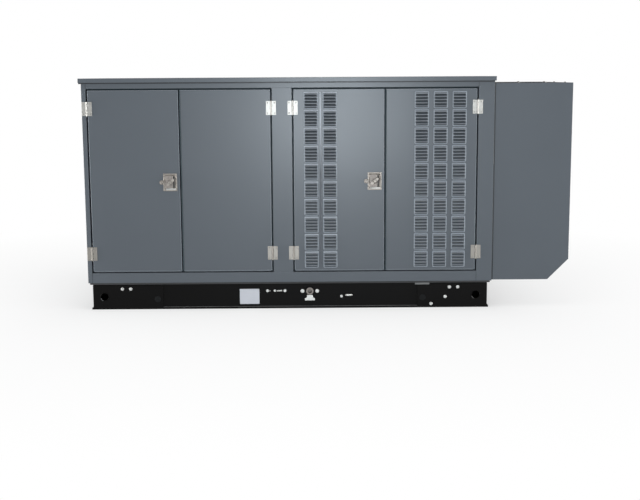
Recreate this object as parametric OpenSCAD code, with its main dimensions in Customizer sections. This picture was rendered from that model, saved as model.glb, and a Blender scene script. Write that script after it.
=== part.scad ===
// Standby gas generator in a sound enclosure.
// X runs along the set with the discharge hood at +X, the service doors face -Y and Z is up.
// The origin is at the middle of the footprint, on the pad.

/* [Overall] */
// Length from the roof's left edge to the hood's outer end
total_l = 2857; // [2380:1:3430]
// Width over the roof
total_w = 965; // [940:1:1160]
// Height from the pad to the top of the roof
total_h = 1357; // [1300:1:1630]
// Length of the discharge hood
hood_l = 456; // [380:1:548]

/* [Skid] */
// Height of the skid rails
skid_h = 150; // [110:1:200]
// Distance from the enclosure's end faces to the skid's ends
skid_inset = 24; // [10:1:40]
// Distance from the enclosure's long faces to the rail webs
rail_inset = 14; // [8:1:30]
// Thickness of the rail steel
rail_t = 6; // [4:0.5:8]
// Width of the rail flanges
rail_flange = 60; // [45:1:80]
// How far the foot lip stands out from the rail web
foot_lip = 8; // [4:1:10]
// Thickness of the foot lip
foot_t = 10; // [6:1:12]
// Length of the lifting plates at the rail ends
lift_plate_l = 413; // [300:1:500]
// Thickness of the lifting plates
lift_plate_t = 6; // [4:1:7]
// Diameter of the lifting holes
lift_hole_d = 47; // [35:1:55]
// Distance from the skid's end to the lifting holes
lift_hole_inset = 68; // [50:1:100]
// Diameter of the tie-down holes
tie_hole_d = 30; // [20:1:40]
// Diameter of the anchor holes in the bottom flanges
anchor_hole_d = 18; // [12:1:22]
// Distance from the skid's end to the anchor holes
anchor_inset = 140; // [110:1:200]
// Thickness of the floor plate, seal included
floor_t = 10; // [6:1:14]

/* [Enclosure] */
// Thickness of the enclosure sheet
sheet = 2.5; // [2:0.5:3]
// Overhang of the roof over the plain end
roof_over_end = 15; // [8:1:25]
// Overhang of the roof over the hood end
roof_over_hood = 8; // [4:1:15]
// Overhang of the roof over the long sides
roof_over_side = 12; // [8:1:20]
// Height of the roof's edge
roof_edge = 25; // [20:1:40]
// Height of the sill panel below the doors
sill_h = 60; // [50:1:100]
// Height of the header above the doors
header_h = 34; // [30:1:60]
// Visible width of the corner posts at the plain end
post_end_w = 25; // [25:1:60]
// Visible width of the middle posts
post_mid_w = 115; // [100:1:160]
// Visible width of the corner posts at the hood end
post_hood_w = 92; // [80:1:140]
// Share of the door width that the plain end's pair takes
pair_share = 0.498; // [0.45:0.001:0.55]
// Width of the door stops behind the doors
stop_w = 17; // [14:1:24]

/* [Doors] */
// Gap all round each door
door_gap = 10; // [8:0.5:12]
// Depth of the doors' folded edges
door_d = 38; // [30:1:45]
// Width of the lips behind the doors' folded edges
door_lip = 18; // [12:1:30]
// Clearance between a closed door and its stop
stop_gap = 6; // [5:0.5:8]
// Distance from the door's top and bottom to the middles of its hinges
hinge_inset = 105; // [70:1:180]
// Height of a hinge
hinge_h = 80; // [60:1:100]
// Width of a hinge leaf from the pin's axis to its edge
hinge_leaf_w = 29; // [24:1:36]
// Thickness of a hinge leaf
hinge_leaf_t = 2.5; // [2:0.5:3]
// Outer diameter of the hinge knuckles
knuckle_d = 11; // [9:0.5:12]
// Diameter of the hinge pins
hinge_pin_d = 6; // [5:0.5:7]
// Running clearance round the pins and between the knuckles
hinge_play = 0.5; // [0.3:0.1:0.8]
// Width of the latch plate
latch_w = 80; // [76:1:96]
// Height of the latch plate
latch_h = 102; // [84:1:120]
// Distance from the door's free edge to the latch plate
latch_inset = 16; // [10:1:30]
// Height of the latch above the middle of the door
latch_rise = -3; // [-80:1:80]

/* [Louvres] */
// Width of a louvre column
louvre_w = 76; // [60:1:92]
// Distance between neighbouring columns, middle to middle
column_pitch = 109.5; // [100:0.5:132]
// Distance from a door's hinge edge to its first column
column_inset = 62; // [60:1:70]
// Louvres in one block
louvre_n = 5; // [3:1:5]
// Distance between neighbouring louvres
louvre_pitch = 18; // [16:0.5:18.5]
// Distance between neighbouring blocks
block_pitch = 103.5; // [100:0.5:104]
// Height of a louvre's open mouth
louvre_mouth = 8; // [5:0.5:9]
// How far a louvre is pressed outwards
louvre_out = 8; // [5:0.5:10]
// Length of a louvre's slanted end
louvre_end = 8; // [4:0.5:12]
// Thickness of a louvre's blade
blade_t = 1.5; // [1:0.1:2]
// Distance from the door's top to its first louvre
louvre_top = 18; // [18:1:30]
// Columns in the end panel
end_columns = 4; // [2:1:6]
// Plain height left above and below the end panel's louvres
end_margin = 150; // [60:1:300]

/* [Hood] */
// Distance from the enclosure's long faces to the hood's sides
hood_inset = 16; // [10:1:30]
// Height of the enclosure's edge above the hood's top
hood_drop = 14; // [4:1:40]
// Size of the chamfer at the hood's lower outer corner
hood_chamfer = 122; // [60:1:200]
// Depth of the hood's folded edges
hood_fold = 25; // [15:1:40]
// Height of the grille bars
grille_h = 12; // [8:1:20]
// Distance between the grille bars
grille_pitch = 42; // [30:1:60]

/* [Gas supply] */
// Distance of the gas fitting's axis from the engine's flywheel end
gas_lead = 46.5; // [22.5:0.5:82.5]
// Height of the gas fitting's axis
gas_z = 102; // [70:1:110]
// Bore of the gas fitting
gas_bore = 27; // [16:1:32]
// Depth of the gas fitting's bore
gas_l = 40; // [20:1:50]
// Outer diameter of the gas fitting
gas_fitting_d = 42; // [40:1:50]
// Outer diameter of the gas pipe
gas_pipe_d = 34; // [27:1:36]

/* [Machinery] */
// Height of the crankshaft's axis above the floor
crank_h = 320; // [300:1:340]
// Length of the engine block
engine_l = 600; // [520:1:640]
// Distance from the hood end of the enclosure to the engine block
engine_inset = 430; // [400:1:460]
// Diameter of the alternator's drum
alternator_d = 470; // [420:1:520]
// Length of the alternator's drum
alternator_l = 500; // [440:1:540]
// Diameter of the fan
fan_d = 560; // [480:1:600]
// Thickness of the radiator
radiator_t = 80; // [60:1:90]
// Diameter of the muffler
muffler_d = 220; // [180:1:240]
// Diameter of the exhaust pipe
pipe_d = 76; // [60:1:80]

/* [Hidden] */
$fn = 48;
x_roof_end = -total_l / 2;
x_end = x_roof_end + roof_over_end;
x_hood = total_l / 2 - hood_l;
y_face = total_w / 2 - roof_over_side;
y_rail = y_face - rail_inset;
y_hood = y_face - hood_inset;
z_floor = skid_h + floor_t;
z_header_top = total_h - roof_edge;
z_sill_top = z_floor + sill_h;
z_header = z_header_top - header_h;

// Doors: two pairs, one each side of the middle post
doors_l = x_hood - x_end - post_end_w - post_mid_w - post_hood_w;
pair_l = [doors_l * pair_share, doors_l * (1 - pair_share)];
x_open = [x_end + post_end_w, x_end + post_end_w + pair_l[0] + post_mid_w];
door_w = [for (l = pair_l) (l - 3 * door_gap) / 2];
door_x = [
    x_open[0] + door_gap,
    x_open[0] + 2 * door_gap + door_w[0],
    x_open[1] + door_gap,
    x_open[1] + 2 * door_gap + door_w[1]
];
door_z0 = z_sill_top + door_gap;
door_h = z_header - z_sill_top - 2 * door_gap;
hinge_x = [
    door_x[0] - door_gap / 2,
    door_x[1] + door_w[0] + door_gap / 2,
    door_x[2] - door_gap / 2,
    door_x[3] + door_w[1] + door_gap / 2
];
hinge_z = [door_z0 + hinge_inset, door_z0 + door_h - hinge_inset];
hinge_y = -y_face - knuckle_d / 2;
stop_y = -y_face + door_d + stop_gap;
latch_z = door_z0 + door_h / 2 + latch_rise;
latch_cx = [
    door_x[0] + door_w[0] - latch_inset - latch_w / 2,
    door_x[2] + door_w[1] - latch_inset - latch_w / 2
];

// Machinery places
z_crank = z_floor + crank_h;
x_engine1 = x_hood - engine_inset;
x_engine0 = x_engine1 - engine_l;
gas_x = x_engine0 - gas_lead;
z_fan = z_crank + 150;
x_radiator = x_hood - 12 - radiator_t;
z_pipe = z_header_top - 70;
x_muffler = x_hood + hood_l / 2;
z_muffler = z_pipe - 260;
z_stub = z_muffler + muffler_d / 2 + 25;
y_intake = alternator_d / 2 + 12;
y_exhaust = 215;
z_throttle = z_crank + 256;
x_pump = x_engine1 + 26;
y_pump = 120;
y_core = y_face - 70;
z_core = [z_floor + 95, z_pipe - pipe_d / 2 - 125];
z_tank = z_pipe - pipe_d / 2 - 20;
timing_l = 50;
pulley_l = 40;
x_fan = x_engine1 + timing_l + pulley_l;
x_tray = x_radiator - 12;
ring_d = fan_d + 24;
ring_t = 3;
hose_d = 48;

// ---- shared forms ----

// A profile in Y and Z, drawn along X from x0 to x1
module along_x(x0, x1) {
    translate([x0, 0, 0]) rotate([90, 0, 90]) linear_extrude(x1 - x0) children();
}

// A profile in X and Z, drawn along Y from y0 to y1
module along_y(y0, y1) {
    translate([0, y1, 0]) rotate([90, 0, 0]) linear_extrude(y1 - y0) children();
}

// A block between two opposite corners
module block(low, high) {
    translate(low) cube(high - low);
}

// A round bar or disc along X, centred at y and z
module round_x(d, x0, x1, y, z) {
    translate([x0, y, z]) rotate([0, 90, 0]) cylinder(d = d, h = x1 - x0);
}

// A round bar along Y, centred at x and z
module round_y(d, y0, y1, x, z) {
    translate([x, y0, z]) rotate([-90, 0, 0]) cylinder(d = d, h = y1 - y0);
}

// A flat strip in a 2-D profile
module strip(x0, y0, x1, y1) {
    translate([x0, y0]) square([x1 - x0, y1 - y0]);
}

// ---- skid ----

module rail() {
    skid_x0 = x_end + skid_inset;
    skid_x1 = x_hood - skid_inset;
    hole_x = [skid_x0 + lift_hole_inset, skid_x1 - lift_hole_inset];
    anchor_x = [skid_x0 + anchor_inset, skid_x1 - anchor_inset];
    tie_x = [skid_x0 + lift_plate_l - tie_hole_d, skid_x1 - lift_plate_l + tie_hole_d];
    difference() {
        union() {
            along_x(skid_x0, skid_x1) {
                strip(-y_rail, 0, -y_rail + rail_t, skid_h);
                strip(-y_rail, skid_h - rail_t, -y_rail + rail_flange, skid_h);
            }
            along_x(skid_x0 - foot_lip, skid_x1 + foot_lip)
                strip(-y_rail - foot_lip, 0, -y_rail + rail_flange, foot_t);
            for (x = [skid_x0, skid_x1 - lift_plate_l])
                block([x, -y_rail - lift_plate_t, foot_t], [x + lift_plate_l, -y_rail, skid_h - rail_t]);
        }
        for (x = hole_x)
            round_y(lift_hole_d, -y_rail - 20, -y_rail + 20, x, skid_h / 2);
        for (x = tie_x)
            round_y(tie_hole_d, -y_rail - 20, -y_rail + 20, x, skid_h * 0.4);
        for (x = anchor_x)
            translate([x, -y_rail + rail_flange / 2 + rail_t / 2, -1]) cylinder(d = anchor_hole_d, h = foot_t + 2);
    }
}

module rail_front() {
    color("#15171a") difference() {
        rail();
        round_y(gas_fitting_d + 2, -y_rail - 20, -y_rail + 20, gas_x, gas_z);
    }
}

module rail_rear() {
    color("#15171a") mirror([0, 1, 0]) rail();
}

module skid_end(x, side) {
    y1 = y_rail - rail_t;
    inner = side * 50;
    color("#15171a") along_y(-y1, y1) {
        strip(min(x, x + side * rail_t), foot_t, max(x, x + side * rail_t), skid_h - rail_t);
        strip(min(x, x + inner), foot_t, max(x, x + inner), foot_t + rail_t);
    }
}

module skid_cross(x) {
    y1 = y_rail - rail_t;
    z1 = skid_h - rail_t;
    color("#15171a") along_y(-y1, y1) {
        strip(x - 50, z1 - rail_t, x + 50, z1);
        strip(x - 50, z1 - 90, x - 50 + rail_t, z1);
        strip(x + 50 - rail_t, z1 - 90, x + 50, z1);
    }
}

module floor_plate() {
    edge = 8;
    color("#1a1c1f") difference() {
        block([x_end + edge, -y_face + edge, skid_h], [x_hood - edge, y_face - edge, z_floor]);
        translate([gas_x, -y_intake, skid_h - 1]) cylinder(d = gas_pipe_d + 10, h = floor_t + 2);
    }
}

// ---- enclosure frame ----

module post_end() {
    d = y_face + stop_y;
    color("#5a6067") translate([0, 0, z_floor]) linear_extrude(z_header_top - z_floor) {
        strip(x_end, -y_face, x_open[0], -y_face + sheet);
        strip(x_open[0] - sheet, -y_face, x_open[0], stop_y);
        strip(x_open[0] - sheet, stop_y, x_open[0] + stop_w, stop_y + sheet);
        strip(x_end, -y_face, x_end + sheet, -y_face + d + stop_w);
    }
}

module post_mid() {
    x0 = x_open[0] + pair_l[0];
    x1 = x_open[1];
    color("#5a6067") translate([0, 0, z_sill_top]) linear_extrude(z_header - z_sill_top) {
        strip(x0, -y_face, x1, -y_face + sheet);
        for (x = [x0, x1 - sheet])
            strip(x, -y_face, x + sheet, stop_y);
        strip(x0 - stop_w, stop_y, x0 + sheet, stop_y + sheet);
        strip(x1 - sheet, stop_y, x1 + stop_w, stop_y + sheet);
    }
}

module post_hood() {
    x0 = x_hood - post_hood_w;
    color("#5a6067") translate([0, 0, z_floor]) linear_extrude(z_header_top - z_floor) {
        strip(x0, -y_face, x_hood, -y_face + sheet);
        strip(x0, -y_face, x0 + sheet, stop_y);
        strip(x0 - stop_w, stop_y, x0 + sheet, stop_y + sheet);
        strip(x_hood - sheet, -y_face, x_hood, -y_face + 60);
    }
}

module sill() {
    color("#5a6067") along_x(x_open[0], x_hood - post_hood_w) {
        strip(-y_face, z_floor, -y_face + sheet, z_sill_top);
        strip(-y_face, z_floor, stop_y, z_floor + sheet);
        strip(-y_face, z_sill_top - sheet, stop_y, z_sill_top);
    }
}

module header() {
    color("#5a6067") along_x(x_open[0], x_hood - post_hood_w) {
        strip(-y_face, z_header, -y_face + sheet, z_header_top);
        strip(-y_face, z_header_top - sheet, stop_y, z_header_top);
        strip(-y_face, z_header, stop_y, z_header + sheet);
    }
}

module roof() {
    lip = 40;
    y1 = y_face + roof_over_side;
    x1 = x_hood + roof_over_hood;
    color("#5a6067") difference() {
        block([x_roof_end, -y1, z_header_top], [x1, y1, total_h]);
        block([x_roof_end + sheet, -y1 + sheet, z_header_top + sheet], [x1 - sheet, y1 - sheet, total_h - sheet]);
        block([x_roof_end + lip, -y1 + lip, z_header_top - 1], [x1 - lip, y1 - lip, z_header_top + sheet + 1]);
    }
}

// ---- louvres ----

// One pressed louvre: a sloping blade and two slanted ends, open below. Its origin is at the bottom
// of its pitch in the middle of its width, on the sheet's outer face, and it faces -Y. Its roots
// run on into the sheet
module louvre() {
    drop = louvre_pitch - louvre_mouth;
    slope_l = norm([louvre_out, drop]);
    end_l = norm([louvre_out, louvre_end]);
    half = louvre_w / 2;
    root = 1;
    half_root = half + root * louvre_end / slope_l;
    seat = 0.5;
    translate([0, 0, louvre_pitch]) rotate([-asin(louvre_out / slope_l), 0, 0]) along_y(0, blade_t) polygon([
        [-half_root, root], [half_root, root], [half - louvre_end, -slope_l], [louvre_end - half, -slope_l]
    ]);
    for (side = [0, 1])
        mirror([side, 0, 0]) translate([half, 0, 0]) rotate([0, 0, atan2(louvre_out, louvre_end)])
            along_y(0, blade_t) polygon([
                [root, 0], [seat - end_l, louvre_mouth + seat], [root, louvre_pitch]
            ]);
}

// Middles of n columns in a row
function column_x(first, n, step) = [for (i = [0 : n - 1]) first + i * step];

// Heights of the tops of the blocks that fit in a given height, below the first louvre's top
function block_tops(h) = [for (top = [0 : -block_pitch : louvre_n * louvre_pitch - h]) top];

// A column of louvre blocks set into its windows: its top is at the origin, it faces -Y
module louvre_column(h) {
    for (top = block_tops(h), k = [1 : louvre_n])
        translate([0, 0, top - k * louvre_pitch]) louvre();
}

// The windows that a column's louvres are pressed from
module louvre_windows(h) {
    seam = 1;
    for (top = block_tops(h))
        translate([-louvre_w / 2 + seam, -1, top - louvre_n * louvre_pitch])
            cube([louvre_w - 2 * seam, sheet + 2, louvre_n * louvre_pitch]);
}

// ---- doors ----

// A door pan with folded edges: its lower left outer corner is at the origin
module door_pan(w) {
    difference() {
        cube([w, door_d, door_h]);
        translate([sheet, sheet, sheet]) cube([w - 2 * sheet, door_d - 2 * sheet, door_h - 2 * sheet]);
        translate([door_lip, sheet, door_lip]) cube([w - 2 * door_lip, door_d, door_h - 2 * door_lip]);
    }
}

// A door with louvre columns centred at the given distances from its left edge
module louvred_door(w, columns) {
    room = door_h - louvre_top - sheet;
    difference() {
        door_pan(w);
        for (x = columns)
            translate([x, 0, door_h - louvre_top]) louvre_windows(room);
    }
    for (x = columns)
        translate([x, 0, door_h - louvre_top]) louvre_column(room);
}

columns_3 = column_x(column_inset + louvre_w / 2, 2, column_pitch);
columns_4 = column_x(door_w[1] - column_inset - louvre_w / 2, 3, -column_pitch);

module door(i) {
    columns = i == 2 ? columns_3 : i == 3 ? columns_4 : [];
    w = i < 2 ? door_w[0] : door_w[1];
    color("#5d646b") translate([door_x[i], -y_face, door_z0]) louvred_door(w, columns);
}

// ---- hinges ----

knuckle_n = 5;
knuckle_l = hinge_h / knuckle_n;

// A hinge leaf with every other knuckle, on the +X side of the pin, middle of the height at the origin
module hinge_leaf(first, bored) {
    bore = hinge_pin_d + 2 * hinge_play;
    difference() {
        union() {
            for (k = [first : 2 : knuckle_n - 1])
                translate([0, 0, -hinge_h / 2 + k * knuckle_l + hinge_play / 2]) {
                    cylinder(d = knuckle_d, h = knuckle_l - hinge_play);
                    translate([0, knuckle_d / 2 - hinge_leaf_t, 0])
                        cube([knuckle_d, hinge_leaf_t, knuckle_l - hinge_play]);
                }
            translate([knuckle_d / 2 + 1, knuckle_d / 2 - hinge_leaf_t, -hinge_h / 2])
                cube([hinge_leaf_w - knuckle_d / 2 - 1, hinge_leaf_t, hinge_h]);
        }
        if (bored)
            translate([0, 0, -hinge_h]) cylinder(d = bore, h = 2 * hinge_h);
    }
    if (!bored)
        translate([0, 0, -hinge_h / 2]) cylinder(d = hinge_pin_d, h = hinge_h);
}

// Side on which a door's leaf lies: doors 1 and 3 are hung at their left edges
function door_side(i) = i % 2 == 0 ? 1 : -1;

module door_hinges(i) {
    color("#c9cccf") for (z = hinge_z)
        translate([hinge_x[i], hinge_y, z])
            mirror([door_side(i) < 0 ? 1 : 0, 0, 0]) hinge_leaf(1, true);
}

module frame_leaves() {
    for (i = [0 : 3], z = hinge_z)
        translate([hinge_x[i], hinge_y, z])
            mirror([door_side(i) > 0 ? 1 : 0, 0, 0]) hinge_leaf(0, false);
}

module frame_hinges() {
    color("#c9cccf") frame_leaves();
}

// ---- latches ----

latch_t = 3;
handle_gap = 5;
handle_t = 8;
handle_reach = 20;
handle_slant = 40;
latch_shaft_d = 16;

// A latch plate with its rim and lock boss: its middle is at the origin, it faces -Y
module latch_plate() {
    rim = 6;
    difference() {
        translate([-latch_w / 2, -latch_t - 3, -latch_h / 2]) cube([latch_w, latch_t + 3, latch_h]);
        translate([-latch_w / 2 + rim, -latch_t - 4, -latch_h / 2 + rim])
            cube([latch_w - 2 * rim, 4, latch_h - 2 * rim]);
        round_y(latch_shaft_d + 2, -20, 20, 0, 0);
    }
    round_y(24, -latch_t - 8, 0, -latch_w / 2 - 10, 0);
    translate([-latch_w / 2 - 10, -latch_t, -12]) cube([12, latch_t, 24]);
}

// A latch handle: a round-ended bar across its shaft, stopped aslant
module latch_handle() {
    y0 = -latch_t - handle_gap;
    rotate([0, -handle_slant, 0]) {
        for (x = [-handle_reach, handle_reach])
            round_y(18, y0 - handle_t, y0, x, 0);
        translate([-handle_reach, y0 - handle_t, -9]) cube([2 * handle_reach, handle_t, 18]);
    }
    round_y(latch_shaft_d, y0 - handle_t - 2, 0, 0, 0);
}

module latch(i) {
    color("#c9cccf") translate([latch_cx[i], -y_face, latch_z]) latch_plate();
}

module handle(i) {
    color("#d5d8da") translate([latch_cx[i], -y_face, latch_z]) latch_handle();
}

// ---- rear side ----

module rear_pair(first) {
    color("#5d646b") mirror([0, 1, 0]) {
        door(first);
        door(first + 1);
    }
}

module rear_hinges() {
    color("#c9cccf") mirror([0, 1, 0]) {
        frame_leaves();
        for (i = [0 : 3])
            door_hinges(i);
    }
}

module rear_latches() {
    color("#c9cccf") mirror([0, 1, 0]) for (i = [0, 1])
        translate([latch_cx[i], -y_face, latch_z]) {
            latch_plate();
            latch_handle();
        }
}

// ---- end panel ----

module end_panel() {
    y1 = -stop_y - stop_w - sheet - 1;
    h = z_header_top - z_floor;
    first = -column_pitch * (end_columns - 1) / 2;
    color("#5a6067") translate([x_end, 0, z_floor]) rotate([0, 0, -90]) {
        difference() {
            translate([-y1, 0, 0]) cube([2 * y1, 25, h]);
            translate([-y1 + sheet, sheet, sheet]) cube([2 * y1 - 2 * sheet, 30, h - 2 * sheet]);
            for (x = column_x(first, end_columns, column_pitch))
                translate([x, 0, h - end_margin]) louvre_windows(h - 2 * end_margin);
        }
        for (x = column_x(first, end_columns, column_pitch))
            translate([x, 0, h - end_margin]) louvre_column(h - 2 * end_margin);
    }
}

// ---- discharge hood ----

z_hood0 = z_floor + 3;
z_hood1 = z_header_top - hood_drop;
x_hood1 = total_l / 2;

module hood_outline(inset) {
    polygon([
        [x_hood, z_hood0 + inset],
        [x_hood1 - hood_chamfer - inset * 0.41, z_hood0 + inset],
        [x_hood1 - inset, z_hood0 + hood_chamfer + inset * 0.41],
        [x_hood1 - inset, z_hood1],
        [x_hood, z_hood1]
    ]);
}

module hood_side() {
    color("#565c63") along_y(-y_hood, -y_hood + sheet) hood_outline(0);
}

module hood_end() {
    color("#565c63") along_y(-y_hood + sheet, y_hood - sheet) difference() {
        hood_outline(0);
        hood_outline(sheet);
    }
}

module hood_grille() {
    y1 = y_hood - sheet;
    x0 = x_hood;
    x1 = x_hood1 - sheet;
    rim = 25;
    bars = floor((2 * y1 - 2 * rim) / grille_pitch);
    z0 = z_hood1 - grille_h;
    color("#3a3e42") {
        difference() {
            block([x0, -y1, z0], [x1, y1, z_hood1]);
            block([x0 + rim, -y1 + rim, z0 - 1], [x1 - rim, y1 - rim, z_hood1 + 1]);
        }
        for (i = [1 : bars - 1])
            block([x0 + rim, -y1 + rim + i * (2 * y1 - 2 * rim) / bars - 2, z0],
                [x1 - rim, -y1 + rim + i * (2 * y1 - 2 * rim) / bars + 2, z_hood1]);
    }
}

// ---- engine ----

module engine_block() {
    z = z_crank;
    x0 = x_engine0;
    x1 = x_engine1;
    along_x(x0, x1) polygon([
        [-130, z - 190], [130, z - 190], [168, z - 100], [168, z + 30],
        [132, z + 95], [132, z + 270], [-132, z + 270], [-132, z + 95],
        [-168, z + 30], [-168, z - 100]
    ]);
    // Ribs on the crankcase
    for (x = [x0 + 40 : (engine_l - 90) / 5 : x1 - 40])
        along_x(x, x + 8) polygon([
            [-140, z - 190], [140, z - 190], [178, z - 100], [178, z + 34],
            [142, z + 102], [142, z + 180], [-142, z + 180], [-142, z + 102],
            [-178, z + 34], [-178, z - 100]
        ]);
    // Core plugs in the water jacket
    for (k = [0 : 3])
        round_y(52, -138, 138, x0 + 105 + k * (engine_l - 210) / 3, z + 225);
    // Cylinder head
    block([x0 + 10, -115, z + 270], [x1 - 10, 115, z + 350]);
}

// Oil pan: a flange, a shallow front and a deep rear
module oil_pan() {
    z = z_crank;
    x0 = x_engine0;
    x1 = x_engine1;
    block([x0 + 30, -142, z - 198], [x1 - 20, 142, z - 188]);
    along_x(x0 + 50, x0 + 340) polygon([[-100, z - 290], [100, z - 290], [132, z - 198], [-132, z - 198]]);
    along_x(x0 + 340, x1 - 40) polygon([[-112, z - 245], [112, z - 245], [132, z - 198], [-132, z - 198]]);
    translate([x0 + 195, 0, z - 300]) cylinder(d = 30, h = 12);
}

// Outline of the cover over the timing drive, from the crankshaft to the fan's shaft
module timing_outline() {
    translate([0, z_crank]) circle(d = 230);
    translate([0, z_fan]) circle(d = 170);
    polygon([[-114, z_crank + 20], [114, z_crank + 20], [84, z_fan + 10], [-84, z_fan + 10]]);
    strip(-124, z_crank - 190, 124, z_crank - 40);
    strip(-124, z_crank - 60, 124, z_crank + 40);
}

module engine() {
    z = z_crank;
    x0 = x_engine0;
    x1 = x_engine1;
    color("#4c5358") {
        engine_block();
        oil_pan();
        along_x(x1, x1 + timing_l - 8) timing_outline();
        round_x(64, x1, x1 + timing_l, 0, z);
        round_x(60, x1, x1 + timing_l, 0, z_fan);
        // Bell housing and its flange
        round_x(alternator_d - 20, x0 - 76, x0, 0, z);
        round_x(alternator_d + 10, x0 - 90, x0 - 76, 0, z);
        // Starter on the far side
        round_x(92, x0 + 20, x0 + 200, 214, z - 104);
        round_x(70, x0, x0 + 20, 214, z - 104);
        round_x(52, x0 + 20, x0 + 150, 214, z - 36);
        // Oil filter
        round_y(98, -292, -160, x0 + 430, z - 40);
        round_y(110, -190, -160, x0 + 430, z - 40);
        // Thermostat housing and the water pump's inlet
        translate([x1 - 40, 60, z + 350]) cylinder(d = 66, h = 32);
        round_y(58, -y_pump, -60, x_pump, z_fan - 30);
        // Mounting brackets on their feet
        for (x = [x0 + 90, x1 - 150], s = [-1, 1]) {
            block([x, min(s * 160, s * 285), z - 116], [x + 60, max(s * 160, s * 285), z - 100]);
            along_y(min(s * 166, s * 172), max(s * 166, s * 172))
                polygon([[x, z - 190], [x + 60, z - 190], [x + 60, z - 60], [x, z - 60]]);
            translate([x + 30, s * 250, z_floor + 18]) cylinder(d = 62, h = z - 116 - z_floor - 18);
            block([x - 10, min(s * 210, s * 290), z_floor], [x + 70, max(s * 210, s * 290), z_floor + 18]);
        }
    }
}

module engine_top() {
    z = z_crank;
    x0 = x_engine0;
    x1 = x_engine1;
    z_air = z + 585;
    y_air = -180;
    color("#2d3134") {
        // Valve cover with its flange, coil caps and filler cap
        block([x0 + 30, -112, z + 350], [x1 - 80, 112, z + 360]);
        along_x(x0 + 40, x1 - 90) polygon([
            [-98, z + 360], [98, z + 360], [92, z + 398], [60, z + 424], [-60, z + 424], [-92, z + 398]
        ]);
        for (k = [0 : 3])
            block([x0 + 75 + k * 110, -22, z + 424], [x0 + 125 + k * 110, 22, z + 436]);
        translate([x1 - 130, 60, z + 420]) cylinder(d = 56, h = 22);
        // Intake log, runners and throttle body
        round_x(84, gas_x - 45, x1 - 60, -y_intake, z + 310);
        translate([gas_x, -y_intake, z_throttle]) cylinder(d = 76, h = z + 310 - z_throttle);
        for (x = [gas_x - 45, x0 + 40])
            round_x(104, x, x + 12, -y_intake, z + 310);
        for (k = [0 : 3]) {
            round_y(50, -y_intake, -115, x0 + 105 + k * (engine_l - 210) / 3, z + 310);
            round_y(72, -127, -115, x0 + 105 + k * (engine_l - 210) / 3, z + 310);
        }
        // Air cleaner on its duct and bracket
        translate([gas_x, -y_intake, z + 310]) cylinder(d = 80, h = z_air - z - 340);
        round_x(230, gas_x - 66, gas_x + 334, y_air, z_air);
        for (x = [gas_x - 76, gas_x + 316])
            round_x(238, x, x + 26, y_air, z_air);
        round_x(90, gas_x + 334, gas_x + 372, y_air, z_air);
        block([gas_x + 200, -110, z + 420], [gas_x + 240, -50, z + 560]);
    }
}

// Tangent points of a belt round two pulleys on one vertical line, lower one first
function belt_lean(r0, r1, d) = asin((r0 - r1) / d);
function belt_corner(r, z, a, s) = [s * r * cos(a), z + r * sin(a)];

module belt_outline(r0, r1, z0, z1) {
    a = belt_lean(r0, r1, z1 - z0);
    translate([0, z0]) circle(r = r0);
    translate([0, z1]) circle(r = r1);
    polygon([
        belt_corner(r0, z0, a, -1), belt_corner(r0, z0, a, 1),
        belt_corner(r1, z1, a, 1), belt_corner(r1, z1, a, -1)
    ]);
}

module belt_drive() {
    r0 = 60;
    r1 = 52;
    x0 = x_engine1 + timing_l;
    belt_x = [x0 + 8, x0 + 30];
    color("#141516") {
        for (p = [[r0, z_crank], [r1, z_fan]]) {
            round_x(2 * p[0] + 16, x0, belt_x[0], 0, p[1]);
            round_x(2 * p[0], belt_x[0], belt_x[1], 0, p[1]);
            round_x(2 * p[0] + 16, belt_x[1], x0 + pulley_l, 0, p[1]);
        }
        along_x(belt_x[0], belt_x[1]) difference() {
            belt_outline(r0 + 7, r1 + 7, z_crank, z_fan);
            belt_outline(r0, r1, z_crank, z_fan);
        }
    }
}

// ---- exhaust ----

module exhaust() {
    z = z_crank + 310;
    x_up = x_engine1 - 100;
    flex_z = [z + 130, z + 290];
    color("#6b5f55") {
        round_x(86, x_engine0 + 50, x_engine1 - 50, y_exhaust, z);
        for (k = [0 : 3]) {
            x = x_engine0 + 105 + k * (engine_l - 210) / 3;
            round_y(54, 115, y_exhaust, x, z);
            block([x - 42, 115, z - 34], [x + 42, 127, z + 34]);
        }
        translate([x_up, y_exhaust, z]) cylinder(d = pipe_d, h = z_pipe - z);
        translate([x_up, y_exhaust, z + 60]) cylinder(d = pipe_d + 40, h = 24);
        // Flexible section
        for (zf = [flex_z[0] : 16 : flex_z[1]])
            translate([x_up, y_exhaust, zf]) cylinder(d = pipe_d + 14, h = 9);
        translate([x_up, y_exhaust, z_pipe]) sphere(d = pipe_d);
        round_x(pipe_d, x_up, x_muffler, y_exhaust, z_pipe);
        translate([x_muffler, y_exhaust, z_pipe]) sphere(d = pipe_d);
        translate([x_muffler, y_exhaust, z_stub]) cylinder(d = pipe_d, h = z_pipe - z_stub);
    }
}

module muffler() {
    half = 320;
    dome = 30;
    r = muffler_d / 2;
    z_out = z_hood1 - grille_h - 10;
    color("#7a7f82") {
        translate([x_muffler, 0, z_muffler]) rotate([90, 0, 0]) rotate_extrude() polygon([
            [0, -half - dome], [r * 0.5, -half - dome * 0.8], [r * 0.86, -half - dome * 0.35], [r, -half],
            [r, half], [r * 0.86, half + dome * 0.35], [r * 0.5, half + dome * 0.8], [0, half + dome]
        ]);
        for (y = [-270, 250])
            round_y(muffler_d + 8, y, y + 20, x_muffler, z_muffler);
        translate([x_muffler, y_exhaust, z_muffler]) cylinder(d = pipe_d + 6, h = z_stub - z_muffler);
        difference() {
            translate([x_muffler, -y_exhaust, z_muffler]) cylinder(d = pipe_d, h = z_out - z_muffler);
            translate([x_muffler, -y_exhaust, z_stub]) cylinder(d = pipe_d - 6, h = z_out);
        }
        for (y = [-270, 250])
            block([x_radiator + radiator_t, y, z_muffler - 20], [x_muffler, y + 20, z_muffler + 20]);
    }
}

// ---- alternator ----

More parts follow.
